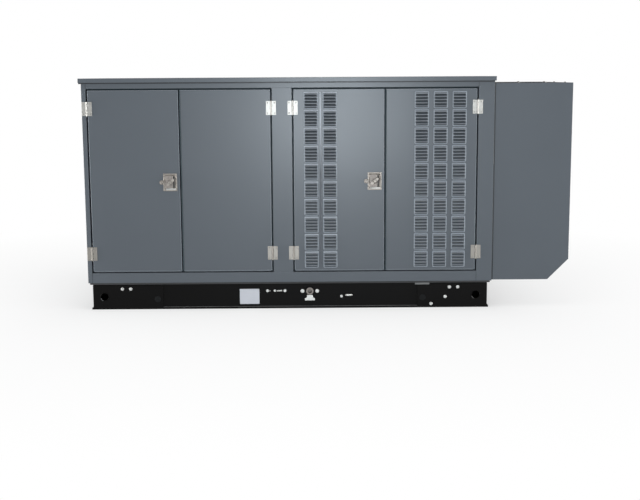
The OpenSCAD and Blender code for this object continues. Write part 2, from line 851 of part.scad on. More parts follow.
module alternator() {
    z = z_crank;
    x1 = x_engine0 - 90;
    x_drum1 = x1 - 40;
    x0 = x_drum1 - alternator_l;
    bell_l = 80;
    bell_r = alternator_d / 2 - 30;
    color("#3f4a52") {
        translate([x1, 0, z]) rotate([0, -90, 0]) cylinder(d1 = alternator_d - 10, d2 = alternator_d, h = 40);
        round_x(alternator_d, x0, x_drum1, 0, z);
        for (x = [x0, x_drum1 - 18])
            round_x(alternator_d + 14, x, x + 18, 0, z);
        // End bell with its air slots
        difference() {
            round_x(2 * bell_r, x0 - bell_l, x0, 0, z);
            for (a = [15 : 30 : 345])
                translate([x0 - bell_l - 1, 0, z]) rotate([a, 0, 0]) translate([0, -12, bell_r - 70]) cube([26, 24, 46]);
            round_x(110, x0 - bell_l - 1, x0 - bell_l + 14, 0, z);
        }
        // Terminal box and its lid
        block([x0 + 60, -150, z + 200], [x0 + 340, 150, z + 400]);
        block([x0 + 52, -158, z + 400], [x0 + 348, 158, z + 412]);
        // Feet
        for (x = [x0 + 40, x_drum1 - 120], s = [-1, 1]) {
            block([x, min(s * 110, s * 200), z_floor + 18], [x + 80, max(s * 110, s * 200), z - 120]);
            block([x - 10, min(s * 130, s * 260), z_floor], [x + 90, max(s * 130, s * 260), z_floor + 18]);
        }
    }
}

// ---- cooling ----

module radiator() {
    side = 34;
    x1 = x_radiator + radiator_t;
    color("#26292c") difference() {
        union() {
            // Side channels, tanks and core
            for (y = [-y_core, y_core - side])
                block([x_radiator, y, z_floor], [x1, y + side, z_tank]);
            block([x_radiator + 6, -y_core, z_floor + 15], [x1 - 6, y_core, z_core[0]]);
            block([x_radiator + 6, -y_core, z_core[1]], [x1 - 6, y_core, z_tank - 12]);
            block([x_radiator + 14, -y_core, z_core[0]], [x1 - 14, y_core, z_core[1]]);
            // Sheet above the top tank
            block([x_radiator + 30, -y_core, z_tank - 12], [x_radiator + 34, y_core, z_header_top]);
            // Filler neck
            translate([x_radiator + 18, -180, z_tank - 20]) cylinder(d = 44, h = 40);
            translate([x_radiator + 18, -180, z_tank + 10]) cylinder(d = 62, h = 14);
        }
        round_x(pipe_d + 16, x_radiator + 20, x_hood, y_exhaust, z_pipe);
    }
}

module baffle() {
    color("#33373b")
        block([x_radiator + 30, -y_face + sheet, z_floor], [x_radiator + 30 + sheet, -y_core, z_header_top]);
}

module fan() {
    x0 = x_fan;
    l = 70;
    blade_n = 8;
    blade_w = 92;
    camber_r = 130;
    color("#1d1f22") {
        round_x(120, x0, x0 + l, 0, z_fan);
        round_x(170, x0 + 40, x0 + 52, 0, z_fan);
        for (k = [0 : blade_n - 1])
            translate([x0 + 46, 0, z_fan]) rotate([k * 360 / blade_n, 0, 0]) translate([0, 0, 55])
                linear_extrude(fan_d / 2 - 55) rotate(-58) translate([camber_r - 6, 0]) intersection() {
                    difference() {
                        circle(r = camber_r + 2.5);
                        circle(r = camber_r - 2.5);
                    }
                    translate([-camber_r - 10, -blade_w / 2]) square([60, blade_w]);
                }
    }
}

// A shallow tray in front of the core, with the hole for the ring
module fan_shroud() {
    y1 = y_core - 8;
    z0 = z_core[0] + 5;
    z1 = z_core[1] - 5;
    t = 3;
    color("#1d1f22") difference() {
        block([x_tray, -y1, z0], [x_radiator, y1, z1]);
        block([x_tray + t, -y1 + t, z0 + t], [x_radiator + 1, y1 - t, z1 - t]);
        round_x(ring_d + 2 * ring_t, x_tray - 1, x_radiator, 0, z_fan);
    }
}

// The ring round the blades, let into the tray
module fan_ring() {
    x0 = x_fan + 10;
    color("#1d1f22") difference() {
        union() {
            round_x(ring_d + 2 * ring_t, x0, x_tray + 3, 0, z_fan);
            round_x(ring_d + 22, x0, x0 + 8, 0, z_fan);
            round_x(ring_d + 22, x_tray - 3, x_tray, 0, z_fan);
        }
        round_x(ring_d, x0 - 1, x_radiator, 0, z_fan);
    }
}

// A pipe with round bends through the given points, each stretch along one axis
module pipe_run(d, points) {
    for (i = [0 : len(points) - 2]) {
        step = points[i + 1] - points[i];
        l = norm(step);
        translate(points[i]) rotate([0, acos(step[2] / l), atan2(step[1], step[0])]) cylinder(d = d, h = l);
    }
    for (i = [1 : 1 : len(points) - 2])
        translate(points[i]) sphere(d = d);
}

module coolant_hoses() {
    z_high = z_tank - 60;
    z_low = z_floor + 60;
    y_low = -165;
    color("#17181a") {
        pipe_run(hose_d, [
            [x_engine1 - 40, 60, z_crank + 382], [x_engine1 - 40, 60, z_high], [x_radiator + 6, 60, z_high]
        ]);
        pipe_run(hose_d, [
            [x_radiator + 6, y_low, z_low], [x_pump, y_low, z_low],
            [x_pump, y_low, z_fan - 30], [x_pump, -y_pump, z_fan - 30]
        ]);
    }
}

// ---- gas supply ----

module gas_inlet() {
    y0 = -y_rail - 8;
    y1 = y0 + gas_l + 15;
    color("#b8bbbd") difference() {
        union() {
            round_y(gas_fitting_d, y0, y1, gas_x, gas_z);
            round_y(gas_fitting_d + 14, -y_rail + rail_t, -y_rail + rail_t + 8, gas_x, gas_z);
        }
        round_y(gas_bore, y0 - 1, y0 + gas_l, gas_x, gas_z);
    }
}

module gas_train() {
    y_in = -y_rail - 8 + gas_l + 15;
    z_reg = z_crank + 140;
    color("#8a8f93") {
        pipe_run(gas_pipe_d, [
            [gas_x, y_in, gas_z], [gas_x, -y_intake, gas_z], [gas_x, -y_intake, z_throttle]
        ]);
        for (z = [z_floor + 90, z_reg - 110, z_throttle - 20])
            translate([gas_x, -y_intake, z]) cylinder(d = gas_pipe_d + 14, h = 20);
        round_y(170, -y_intake - 42, -y_intake - 4, gas_x, z_reg);
        round_y(184, -y_intake - 8, -y_intake, gas_x, z_reg);
        round_y(110, -y_intake - 52, -y_intake - 42, gas_x, z_reg);
        round_y(100, -y_intake, -y_intake + 24, gas_x, z_reg);
    }
}

// ---- battery and controls ----

module battery() {
    x0 = x_end + 124;
    y0 = stop_y + 50;
    color("#17181a") {
        block([x0, y0, z_floor + 6], [x0 + 260, y0 + 173, z_floor + 180]);
        block([x0 - 4, y0 - 4, z_floor + 180], [x0 + 264, y0 + 177, z_floor + 205]);
        for (x = [x0 + 35, x0 + 225])
            translate([x, y0 + 40, z_floor + 200]) cylinder(d = 18, h = 24);
        difference() {
            block([x0 - 12, y0 - 12, z_floor], [x0 + 272, y0 + 185, z_floor + 40]);
            block([x0 - 9, y0 - 9, z_floor + 6], [x0 + 269, y0 + 182, z_floor + 41]);
        }
    }
}

module control_box() {
    x0 = x_end + 60;
    y0 = stop_y + 26;
    w = 400;
    d = 200;
    z0 = z_floor + 560;
    z1 = z0 + 420;
    color("#8d9296") {
        difference() {
            block([x0, y0, z0], [x0 + w, y0 + d, z1]);
            block([x0 + 40, y0 - 1, z1 - 190], [x0 + 240, y0 + 6, z1 - 60]);
        }
        block([x0 + 60, y0 + 2, z1 - 170], [x0 + 220, y0 + 8, z1 - 80]);
        for (k = [0 : 2])
            round_y(26, y0 - 8, y0, x0 + 290 + k * 36, z1 - 90);
        round_y(44, y0 - 16, y0, x0 + 330, z1 - 160);
        block([x0 + 60, y0 - 14, z0 + 50], [x0 + 150, y0, z0 + 170]);
        // Stand
        for (x = [x0, x0 + w - 40])
            block([x, y0 + d, z_floor], [x + 40, y0 + d + 40, z1]);
    }
}

rail_front();
rail_rear();
skid_end(x_end + skid_inset, 1);  // skid_end_left
skid_end(x_hood - skid_inset, -1);  // skid_end_right
skid_cross(x_engine0 - 400);  // skid_cross_left
skid_cross(x_engine1 - 150);  // skid_cross_right
floor_plate();
post_end();  // post_front_left
post_mid();  // post_front_mid
post_hood();  // post_front_right
mirror([0, 1, 0]) post_end();  // post_rear_left
mirror([0, 1, 0]) post_mid();  // post_rear_mid
mirror([0, 1, 0]) post_hood();  // post_rear_right
sill();  // sill_front
mirror([0, 1, 0]) sill();  // sill_rear
header();  // header_front
mirror([0, 1, 0]) header();  // header_rear
roof();
end_panel();
hood_side();  // hood_side_front
mirror([0, 1, 0]) hood_side();  // hood_side_rear
hood_end();
hood_grille();
door(0);  // door_1
door(1);  // door_2
door(2);  // door_3
door(3);  // door_4
door_hinges(0);  // door_1_hinges
door_hinges(1);  // door_2_hinges
door_hinges(2);  // door_3_hinges
door_hinges(3);  // door_4_hinges
latch(0);  // latch_1
latch(1);  // latch_3
handle(0);  // handle_1
handle(1);  // handle_3
frame_hinges();
rear_pair(0);  // rear_doors_left
rear_pair(2);  // rear_doors_right
rear_hinges();
rear_latches();
engine();
engine_top();
belt_drive();
exhaust();
muffler();
alternator();
radiator();
baffle();  // baffle_front
mirror([0, 1, 0]) baffle();  // baffle_rear
fan();
fan_ring();
fan_shroud();
coolant_hoses();
gas_inlet();
gas_train();
battery();
control_box();
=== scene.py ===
import math

import bpy
import numpy as np
from mathutils import Matrix, Vector


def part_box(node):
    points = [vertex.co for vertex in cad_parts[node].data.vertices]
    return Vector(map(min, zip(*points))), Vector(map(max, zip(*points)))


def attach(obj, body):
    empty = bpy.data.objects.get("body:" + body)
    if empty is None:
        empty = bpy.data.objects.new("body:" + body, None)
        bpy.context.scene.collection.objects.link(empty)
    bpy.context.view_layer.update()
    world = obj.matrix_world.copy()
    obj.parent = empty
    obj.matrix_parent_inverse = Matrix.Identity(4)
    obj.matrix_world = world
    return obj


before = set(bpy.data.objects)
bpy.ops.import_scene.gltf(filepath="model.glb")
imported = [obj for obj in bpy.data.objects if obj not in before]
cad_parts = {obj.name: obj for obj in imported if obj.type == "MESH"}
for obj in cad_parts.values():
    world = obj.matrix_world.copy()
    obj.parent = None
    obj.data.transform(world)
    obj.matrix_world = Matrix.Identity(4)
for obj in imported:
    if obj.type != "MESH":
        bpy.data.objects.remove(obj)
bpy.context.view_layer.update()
cad_names = sorted(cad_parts)
scene = bpy.context.scene

# ---- Camera ----
# A long lens stands level with the roof, a little left of the set's middle,
# and looks slightly down at the service doors.


def look_turn(right_turn, down, roll):
    """Camera axes: ahead is +Y turned right and down, right is level, and both are rolled about ahead."""
    ahead = Vector((math.sin(right_turn) * math.cos(down), math.cos(right_turn) * math.cos(down),
                    -math.sin(down)))
    right = Vector((math.cos(right_turn), -math.sin(right_turn), 0.0))
    up = right.cross(ahead)
    right, up = (right * math.cos(roll) + up * math.sin(roll), up * math.cos(roll) - right * math.sin(roll))
    return Matrix((right, up, -ahead)).transposed().to_quaternion()


camera_data = bpy.data.cameras.new("camera")
camera_data.sensor_width = 36.0
camera_data.lens = 62.1
camera_data.clip_end = 80.0
camera = bpy.data.objects.new("camera", camera_data)
scene.collection.objects.link(camera)
camera.rotation_mode = "QUATERNION"
camera.location = (-0.076, -6.9, 1.365)
degrees_right, degrees_down, degrees_rolled = 0.3, 8.97, -0.344
camera.rotation_quaternion = look_turn(*np.radians((degrees_right, degrees_down, degrees_rolled)).tolist())
scene.camera = camera

# ---- Floor and surround ----
# The set stands on a smooth white studio floor that runs into a white surround.
# The floor fades to plain white away from the skid's footprint and keeps the set's soft shadow.
WHITE = (1.0, 1.0, 1.0, 1.0)
scene.view_settings.view_transform = "Standard"


def node(tree, kind, inputs, **settings):
    """A new shader node with settings. An input is linked where an output is given, and set otherwise."""
    made = tree.nodes.new("ShaderNode" + kind)
    for name, value in settings.items():
        setattr(made, name, value)
    for socket, value in inputs.items():
        if isinstance(value, bpy.types.NodeSocket):
            tree.links.new(value, made.inputs[socket])
        else:
            made.inputs[socket].default_value = value
    return made


def seen_directly(tree):
    """1 for camera, mirror and clear rays, 0 for the rays that light things."""
    rays = node(tree, "LightPath", {}).outputs
    found = rays["Is Camera Ray"]
    for kind in ("Is Glossy Ray", "Is Transmission Ray"):
        found = node(tree, "Math", {0: found, 1: rays[kind]}, operation="MAXIMUM").outputs[0]
    return found


def mixed(tree, share, first, second):
    """A mix of two shaders, with a share from 0, all first, to 1, all second."""
    return node(tree, "MixShader", {0: share, 1: first.outputs[0], 2: second.outputs[0]}).outputs[0]


surround = bpy.data.worlds.new("white_surround")
scene.world = surround
surround.use_nodes = True
tree = surround.node_tree
tree.nodes.clear()
lighting = node(tree, "Background", {"Color": (0.96, 0.98, 1.0, 1.0), "Strength": 0.3})
backdrop = node(tree, "Background", {"Color": WHITE, "Strength": 1.0})
node(tree, "OutputWorld", {"Surface": mixed(tree, seen_directly(tree), lighting, backdrop)})

floor_mesh = bpy.data.meshes.new("floor")
floor_mesh.from_pydata([(-30, -24, 0), (30, -24, 0), (30, 36, 0), (-30, 36, 0)], [], [(0, 1, 2, 3)])
floor = bpy.data.objects.new("floor", floor_mesh)
scene.collection.objects.link(floor)
floor_paint = bpy.data.materials.new("white_floor")
floor_paint.use_nodes = True
tree = floor_paint.node_tree
paint = tree.nodes["Principled BSDF"]
paint.inputs["Base Color"].default_value = (0.86, 0.86, 0.855, 1.0)
paint.inputs["Roughness"].default_value = 0.85
glow = node(tree, "Emission", {"Strength": 1.0})
shade_middle, shade_half, fade_width, fade_power = (-0.22, 0.0, 0.0), (1.16, 0.45, 0.0), 2.6, 0.13
away = node(tree, "TexCoord", {}).outputs["Object"]
for step, amount in (("SUBTRACT", {1: shade_middle}), ("ABSOLUTE", {}), ("SUBTRACT", {1: shade_half}),
                     ("MAXIMUM", {1: (0.0, 0.0, 0.0)}), ("LENGTH", {})):
    away = node(tree, "VectorMath", {0: away} | amount, operation=step).outputs[step == "LENGTH"]
fade = node(tree, "MapRange", {"Value": away, "From Max": fade_width}).outputs[0]
rise = node(tree, "Math", {0: fade, 1: fade_power}, operation="POWER").outputs[0]
whiten = node(tree, "Math", {0: rise, 1: seen_directly(tree)}, operation="MULTIPLY").outputs[0]
tree.links.new(mixed(tree, whiten, paint, glow), tree.nodes["Material Output"].inputs["Surface"])
floor.data.materials.append(floor_paint)

# ---- Light ----
# One soft box beside the camera leaves a broad sheen high on the middle doors,
# and a wide pale box overhead lifts the roof's edge and the header. Two low ones light the ends.


def soft_box(name, place, target, size, power, colour=WHITE[:3]):
    """A square area lamp at a place, facing a target."""
    data = bpy.data.lights.new(name, "AREA")
    data.shape = "SQUARE"
    data.size = size
    data.energy = power
    data.color = colour
    lamp = bpy.data.objects.new(name, data)
    scene.collection.objects.link(lamp)
    lamp.location = place
    lamp.rotation_mode = "QUATERNION"
    lamp.rotation_quaternion = (Vector(target) - Vector(place)).to_track_quat("-Z", "Y")


soft_box("camera_side_light", (0.12, -6.95, 1.02), (0.05, -0.47, 1.1), 0.5, 128.0, (0.9, 0.99, 1.06))
soft_box("overhead_light", (0.2, -1.5, 4.9), (0.0, -0.3, 0.9), 2.4, 60.0)
soft_box("left_light", (-4.6, -1.05, 0.7), (-0.2, -0.5, 0.8), 1.2, 125.0)
soft_box("right_light", (4.6, -1.05, 0.7), (0.2, -0.5, 0.8), 1.2, 125.0)

# ---- Skid ----
# Two pressed steel channels and their cross members are welded up and coated satin black.
# The thick end plates carry the lifting holes, and zinc plated fittings stand along the rail.
DUST = (0.3, 0.29, 0.27, 1.0)


def finish(name, colour, roughness, metallic=0.0, patch=(0.05, 0.5), grain=(0.0, 0.002),
           stretch=(1.0, 1.0, 1.0), rounded=0.0, dust=0.0, spread=0.05, specular=0.5, lower=None):
    """A surface finish, as a material. patch is how far the colour drifts and the size of the
    clouds in metres, and the roughness drifts by spread. grain is a relief's height and the size of its
    noise in metres, drawn out by stretch. Edges are rounded optically by a radius in metres, and dust
    lightens faces that look up. lower is the height where the colour starts to change downwards, where that
    ends, and the colour."""
    material = bpy.data.materials.new(name)
    material.use_nodes = True
    tree = material.node_tree
    shader = tree.nodes["Principled BSDF"]
    shader.inputs["Metallic"].default_value = metallic
    shader.inputs["Specular IOR Level"].default_value = specular
    place = node(tree, "TexCoord", {}).outputs["Object"]
    drawn = node(tree, "Mapping", {"Vector": place, "Scale": stretch}).outputs[0]
    cloud = node(tree, "TexNoise", {"Vector": place, "Scale": 1.0 / patch[1], "Detail": 5.0}).outputs["Fac"]
    fine = node(tree, "TexNoise", {"Vector": drawn, "Scale": 1.0 / grain[1], "Detail": 3.0}).outputs["Fac"]
    drift = node(tree, "Mix", {"Factor": 0.3, "A": cloud, "B": fine}).outputs["Result"]

    def tinted(share, first, second):
        """A mix of two colours."""
        return node(tree, "Mix", {"Factor": share, "A": first, "B": second},
                    data_type="RGBA").outputs["Result"]

    shown = tinted(drift, (*[c * (1 - 2 * patch[0]) for c in colour], 1.0),
                   (*[min(1.0, c * (1 + 2 * patch[0])) for c in colour], 1.0))
    if lower:
        level = node(tree, "SeparateXYZ", {0: place}).outputs["Z"]
        share = node(tree, "MapRange",
                     {"Value": level, "From Min": lower[0], "From Max": lower[1]}).outputs[0]
        shown = tinted(share, shown, (*lower[2], 1.0))
    if dust:
        rise = node(tree, "SeparateXYZ", {0: node(tree, "NewGeometry", {}).outputs["Normal"]}).outputs["Z"]
        share = node(tree, "MapRange", {"Value": rise, "From Min": 0.5, "To Max": dust}).outputs[0]
        shown = tinted(share, shown, DUST)
    gloss = node(tree, "MapRange", {"Value": drift, "To Min": max(0.02, roughness - 2 * spread),
                                    "To Max": min(1.0, roughness + 2 * spread)})
    relief = node(tree, "Bump", {"Strength": 1.0, "Distance": grain[0], "Height": fine})
    if rounded:
        edge = node(tree, "Bevel", {"Radius": rounded}, samples=6)
        tree.links.new(edge.outputs[0], relief.inputs["Normal"])
    for socket, value in (("Base Color", shown), ("Roughness", gloss.outputs[0]),
                          ("Normal", relief.outputs[0])):
        tree.links.new(value, shader.inputs[socket])
    return material


def coat(material, *names):
    """Gives the CAD nodes whose names start so a finish in every slot."""
    for name in cad_names:
        if name.startswith(names):
            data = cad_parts[name].data
            if not data.materials:
                data.materials.append(material)
            for k in range(len(data.materials)):
                data.materials[k] = material


skid_black = finish("skid_black", (0.004, 0.0037, 0.0036), 0.42, patch=(0.1, 0.3),
                    grain=(0.00012, 0.0011), rounded=0.0015, dust=0.03, specular=0.06)
coat(skid_black, "rail_", "skid_", "floor_plate")


def blocks(low, high):
    """Blocks between opposite corners, one a row: eight corners and six outward faces each."""
    low, high = np.atleast_2d(np.asarray(low, float)), np.atleast_2d(np.asarray(high, float))
    corner = np.array([[i & 1, i >> 1 & 1, i >> 2] for i in range(8)])
    points = np.where(corner[None] == 0, low[:, None], high[:, None]).reshape(-1, 3)
    six = np.array([[0, 2, 3, 1], [4, 5, 7, 6], [0, 1, 5, 4], [2, 6, 7, 3], [0, 4, 6, 2], [1, 3, 7, 5]])
    return points, [(six[None] + 8 * np.arange(len(low))[:, None, None]).reshape(-1, 4)]


def prism(outline, axis, start, stop):
    """An outline in the next two axes after axis, carried along axis from start to stop, with two caps."""
    outline = np.asarray(outline, float)
    ahead = np.roll(outline, -1, axis=0)
    if np.sum(outline[:, 0] * ahead[:, 1] - ahead[:, 0] * outline[:, 1]) < 0:
        outline = outline[::-1]
    n = len(outline)
    points = np.empty((2 * n, 3))
    points[:, axis] = np.repeat((min(start, stop), max(start, stop)), n)
    points[:, (axis + 1) % 3] = np.tile(outline[:, 0], 2)
    points[:, (axis + 2) % 3] = np.tile(outline[:, 1], 2)
    i = np.arange(n)
    j = (i + 1) % n
    return points, [np.column_stack((i, j, j + n, i + n)), np.array([i[::-1], i + n])]


def walls(rows, sides):
    """The faces between rows of points, each row a closed ring of sides points that follows the last."""
    i = np.arange(sides)
    j = (i + 1) % sides
    row = sides * np.arange(rows - 1)[:, None]
    return np.stack((row + i, row + j, row + j + sides, row + i + sides), axis=-1).reshape(-1, 4)


def turned(profile, sides=20):
    """A profile of (height, radius) pairs turned about Z. Its first and last radius are 0 and close it."""
    profile = np.asarray(profile, float)
    angle = np.arange(sides) * 2 * np.pi / sides
    ring = np.column_stack((np.cos(angle), np.sin(angle)))
    inner = profile[1:-1]
    points = np.concatenate((
        np.column_stack(((inner[:, 1, None, None] * ring[None]).reshape(-1, 2),
                         np.repeat(inner[:, 0], sides))),
        [(0, 0, profile[0, 0]), (0, 0, profile[-1, 0])]))
    i = np.arange(sides)
    j = (i + 1) % sides
    last = sides * (len(inner) - 1)
    low_pole, high_pole = len(points) - 2, len(points) - 1
    fans = np.concatenate((np.column_stack((j, i, np.full(sides, low_pole))),
                           np.column_stack((last + i, last + j, np.full(sides, high_pole)))))
    return points, [walls(len(inner), sides), fans]


def facing(direction):
    """A turn that carries +Z onto a direction and keeps +X level."""
    z = np.asarray(direction, float) / np.linalg.norm(direction)
    x = np.cross((0.0, 0.0, 1.0), z) if abs(z[2]) < 0.9 else np.array((1.0, 0.0, 0.0))
    x = x / np.linalg.norm(x)
    return np.column_stack((x, np.cross(z, x), z))


def copies(form, shifts, turn=np.eye(3)):
    """A form turned, then repeated at each shift."""
    points, faces = form
    shifts = np.atleast_2d(np.asarray(shifts, float))
    steps = len(points) * np.arange(len(shifts))[:, None, None]
    return ((points @ turn.T)[None] + shifts[:, None]).reshape(-1, 3), [
        (f[None] + steps).reshape(-1, f.shape[1]) for f in faces]


def mirrored(form):
    """The same form on the other side of the plane Y = 0, with its faces turned back outwards."""
    points, faces = form
    return points * (1.0, -1.0, 1.0), [f[:, ::-1] for f in faces]


def both(forms):
    """Forms on the service side, and the same ones on the rear side."""
    return forms + [mirrored(form) for form in forms]


def rounded_path(corners, bend, steps=6):
    """A path through corners, each inner one eased by a quadratic curve that starts and ends bend away."""
    corners = np.asarray(corners, float)
    path = [corners[:1]]
    t = np.linspace(0, 1, steps)[:, None]
    for before, at, after in zip(corners[:-2], corners[1:-1], corners[2:]):
        a = at + (before - at) * min(0.5, bend / np.linalg.norm(before - at))
        b = at + (after - at) * min(0.5, bend / np.linalg.norm(after - at))
        path.append((1 - t) ** 2 * a + 2 * t * (1 - t) * at + t ** 2 * b)
    path.append(corners[-1:])
    return np.concatenate(path)


def tube(path, radius, sides=12):
    """A round bar along a path. Ring k stands square to the mean of the stretches beside point k. Its points
    are p + r (cos v a + sin v b), where a is the normal of the path's own plane made square to the path, and
    b is the path's direction crossed with a. radius is one number or one for each point."""
    path = np.asarray(path, float)
    radius = np.broadcast_to(np.asarray(radius, float), len(path))
    stretch = np.diff(path, axis=0)
    stretch /= np.linalg.norm(stretch, axis=1)[:, None]
    along = np.concatenate((stretch[:1], stretch[:-1] + stretch[1:], stretch[-1:]))
    along /= np.linalg.norm(along, axis=1)[:, None]
    normal = np.linalg.svd(np.vstack((stretch, stretch[:1], stretch[:1])))[2][-1]
    a = normal - along * (along @ normal)[:, None]
    a /= np.linalg.norm(a, axis=1)[:, None]
    b = np.cross(along, a)
    angle = (np.arange(sides) * 2 * np.pi / sides)[None, :, None]
    rings = path[:, None] + radius[:, None, None] * (np.cos(angle) * a[:, None] + np.sin(angle) * b[:, None])
    i = np.arange(sides)
    return rings.reshape(-1, 3), [walls(len(path), sides), np.array([i[::-1], sides * (len(path) - 1) + i])]


def torus(radius, thick, sides=40, around=10):
    """A ring of round bar about Z. Point (u, v) is ((R + r cos v) cos u, (R + r cos v) sin u, r sin v)."""
    u = (np.arange(sides) * 2 * np.pi / sides)[:, None]
    v = (np.arange(around) * 2 * np.pi / around)[None, :]
    reach = radius + thick * np.cos(v)
    points = np.stack(np.broadcast_arrays(reach * np.cos(u), reach * np.sin(u), thick * np.sin(v)), axis=-1)
    i, j = np.meshgrid(np.arange(sides), np.arange(around), indexing="ij")
    k, m = (i + 1) % sides, (j + 1) % around
    faces = np.stack((i * around + j, k * around + j, k * around + m, i * around + m), axis=-1)
    return points.reshape(-1, 3), [faces.reshape(-1, 4)]


CREASE, BEVEL_ABOVE = math.radians(35.0), math.radians(40)


def piece(name, forms, material, body="housing", round_edges=0.0):
    """One object from forms, each a pair of points and lists of faces. Each form's corner numbers are raised
    by the points before it. Edges sharper than CREASE stay sharp, and round_edges is a bevel's width in
    metres."""
    points, loops, counts, before = [], [], [], 0
    for form_points, form_faces in forms:
        points.append(form_points)
        for faces in form_faces:
            loops.append((faces + before).ravel())
            counts.append(np.full(len(faces), faces.shape[1]))
        before += len(form_points)
    points, loops, counts = np.concatenate(points), np.concatenate(loops), np.concatenate(counts)
    mesh = bpy.data.meshes.new(name)
    mesh.vertices.add(len(points))
    mesh.vertices.foreach_set("co", points.astype(np.float32).ravel())
    mesh.loops.add(len(loops))
    mesh.loops.foreach_set("vertex_index", loops.astype(np.int32))
    mesh.polygons.add(len(counts))
    mesh.polygons.foreach_set("loop_start", (np.cumsum(counts) - counts).astype(np.int32))
    mesh.polygons.foreach_set("use_smooth", np.ones(len(counts), bool))
    mesh.update(calc_edges=True)
    mesh.set_sharp_from_angle(angle=CREASE)
    made = bpy.data.objects.new(name, mesh)
    scene.collection.objects.link(made)
    mesh.materials.append(material)
    if round_edges:
        bevel = made.modifiers.new("rounded_edges", "BEVEL")
        bevel.width = round_edges
        bevel.segments = 2
        bevel.limit_method = "ANGLE"
        bevel.angle_limit = BEVEL_ABOVE
        bevel.use_clamp_overlap = True
    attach(made, body)


OUT, BACK = facing((0, -1, 0)), facing((0, 1, 0))  # towards the service side and the rear
LEFT, RIGHT = facing((-1, 0, 0)), facing((1, 0, 0))
DOWN, UP = facing((0, 0, -1)), np.eye(3)
EITHER_WAY = (-1, 1)


def hex_bolt(across, height):
    """A hexagon head with a turned chamfer on a thin washer, standing on Z = 0, as two forms."""
    r, thick = across / math.sqrt(3), 0.0014
    head = turned([(0, 0), (0, r), (height * 0.82, r), (height, r * 0.86), (height, 0)], 6)
    return [turned([(0, 0), (0, r * 1.28), (thick, r * 1.28), (thick, 0)]), copies(head, (0, 0, thick))]


def bolted(places, turn, across, height):
    """A hexagon bolt at each place, all turned the same way."""
    return [copies(f, places, turn) for f in hex_bolt(across, height)]


def dome_screw(across, height):
    """A shallow dome head with a small socket in it, standing on Z = 0."""
    r = across / 2
    return turned([(0, 0), (0, r), (height * 0.45, r * 0.94), (height * 0.85, r * 0.62), (height, r * 0.34),
                   (height * 0.6, r * 0.3), (height * 0.6, 0)], 16)


zinc = finish("zinc_plate", (0.46, 0.46, 0.445), 0.4, metallic=1.0, patch=(0.12, 0.02),
              grain=(0.00006, 0.0016), spread=0.08)
rail_low, rail_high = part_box("rail_front")
skid_x = (rail_low[0] + 0.008, rail_high[0] - 0.008)
web_y, plate_y = -0.4565, -0.4625
plate_x = (skid_x[0] + 0.413, skid_x[1] - 0.413)

bead_t = np.linspace(0, 1, 60)
beads = []
for x in plate_x:
    for y in (web_y - 0.0005, -web_y + 0.0005):
        run = np.column_stack((np.full(60, x), np.full(60, y), 0.012 + 0.13 * bead_t))
        beads.append(tube(run, 0.0042 + 0.0008 * np.sin(bead_t * 150), 8))
piece("weld_beads", beads, skid_black)

skid_middle, right_bolts = -0.2205, [(0.725, 0.122), (0.774, 0.122), (0.7, 0.064), (0.616, 0.022)]
places = [(x, plate_y, z) for x, z in right_bolts]
places += [(2 * skid_middle - x, y, z) for x, y, z in places[:2]]
rear_places = [(x, -plate_y, z) for x, _, z in places]
bolts = bolted(places, OUT, 0.0135, 0.006) + bolted(rear_places, BACK, 0.0135, 0.006)
piece("skid_bolts", bolts, zinc, round_edges=0.0006)

label_low, label_high = (-0.52, web_y - 0.0012, 0.026), (-0.404, web_y, 0.117)
plate_white = finish("plate_white", (0.55, 0.56, 0.6), 0.35, patch=(0.03, 0.03),
                     grain=(0.00002, 0.0008))
piece("bare_label_plate", [blocks(label_low, label_high)], plate_white, round_edges=0.0004)
places = [(x, label_low[1], z) for x in (label_low[0] + 0.006, label_high[0] - 0.006) for z in (0.032, 0.111)]
piece("label_rivets", [copies(turned([(0, 0), (0, 0.0022), (0.0009, 0.0018), (0.0014, 0)], 10), places, OUT)],
      zinc)

# Drain cock, earth stud and tie points along the middle of the rail
tap_z, tie_z = 0.105, 0.0775
small = bolted([(-0.355, web_y, tap_z), (-0.252, web_y, tap_z)], OUT, 0.0115, 0.005)
small += bolted([(-0.312, web_y, tap_z)], OUT, 0.009, 0.004)
small += bolted([(0.084, web_y, 0.069)], OUT, 0.011, 0.006)
small.append(tube([(-0.35, web_y - 0.005, tap_z), (-0.337, web_y - 0.006, 0.106)], 0.0022, 8))
small.append(tube([(-0.3, web_y - 0.004, 0.1045), (-0.268, web_y - 0.004, 0.1065)], (0.0045, 0.0055), 10))
small.append(tube(rounded_path([(0.112, web_y + 0.001, tie_z), (0.112, web_y - 0.007, tie_z),
                                (0.142, web_y - 0.007, tie_z), (0.142, web_y + 0.001, tie_z)], 0.005),
                  0.0064))
piece("rail_fittings", small, zinc, round_edges=0.0003)

low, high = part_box("gas_inlet")
gas_x, gas_z = (low[0] + high[0]) / 2, (low[2] + high[2]) / 2
fitting_iron = finish("malleable_iron", (0.2, 0.18, 0.165), 0.55, metallic=0.9,
                      patch=(0.15, 0.02), grain=(0.0001, 0.002), rounded=0.001)
coat(fitting_iron, "gas_inlet")
flange = bolted([(gas_x + x, web_y, gas_z) for x in (-0.0435, 0.0435)], OUT, 0.0155, 0.007)
bell = [(-0.017, 0.079), (0.017, 0.079), (0.018, 0.064), (0.03, 0.058), (0.03, 0.046), (-0.03, 0.046),
        (-0.03, 0.058), (-0.018, 0.064)]
flange.append(prism([(z, gas_x + x) for x, z in bell], 1, web_y - 0.007, web_y))
piece("gas_fitting_bolts_and_bracket", flange, zinc, round_edges=0.0008)

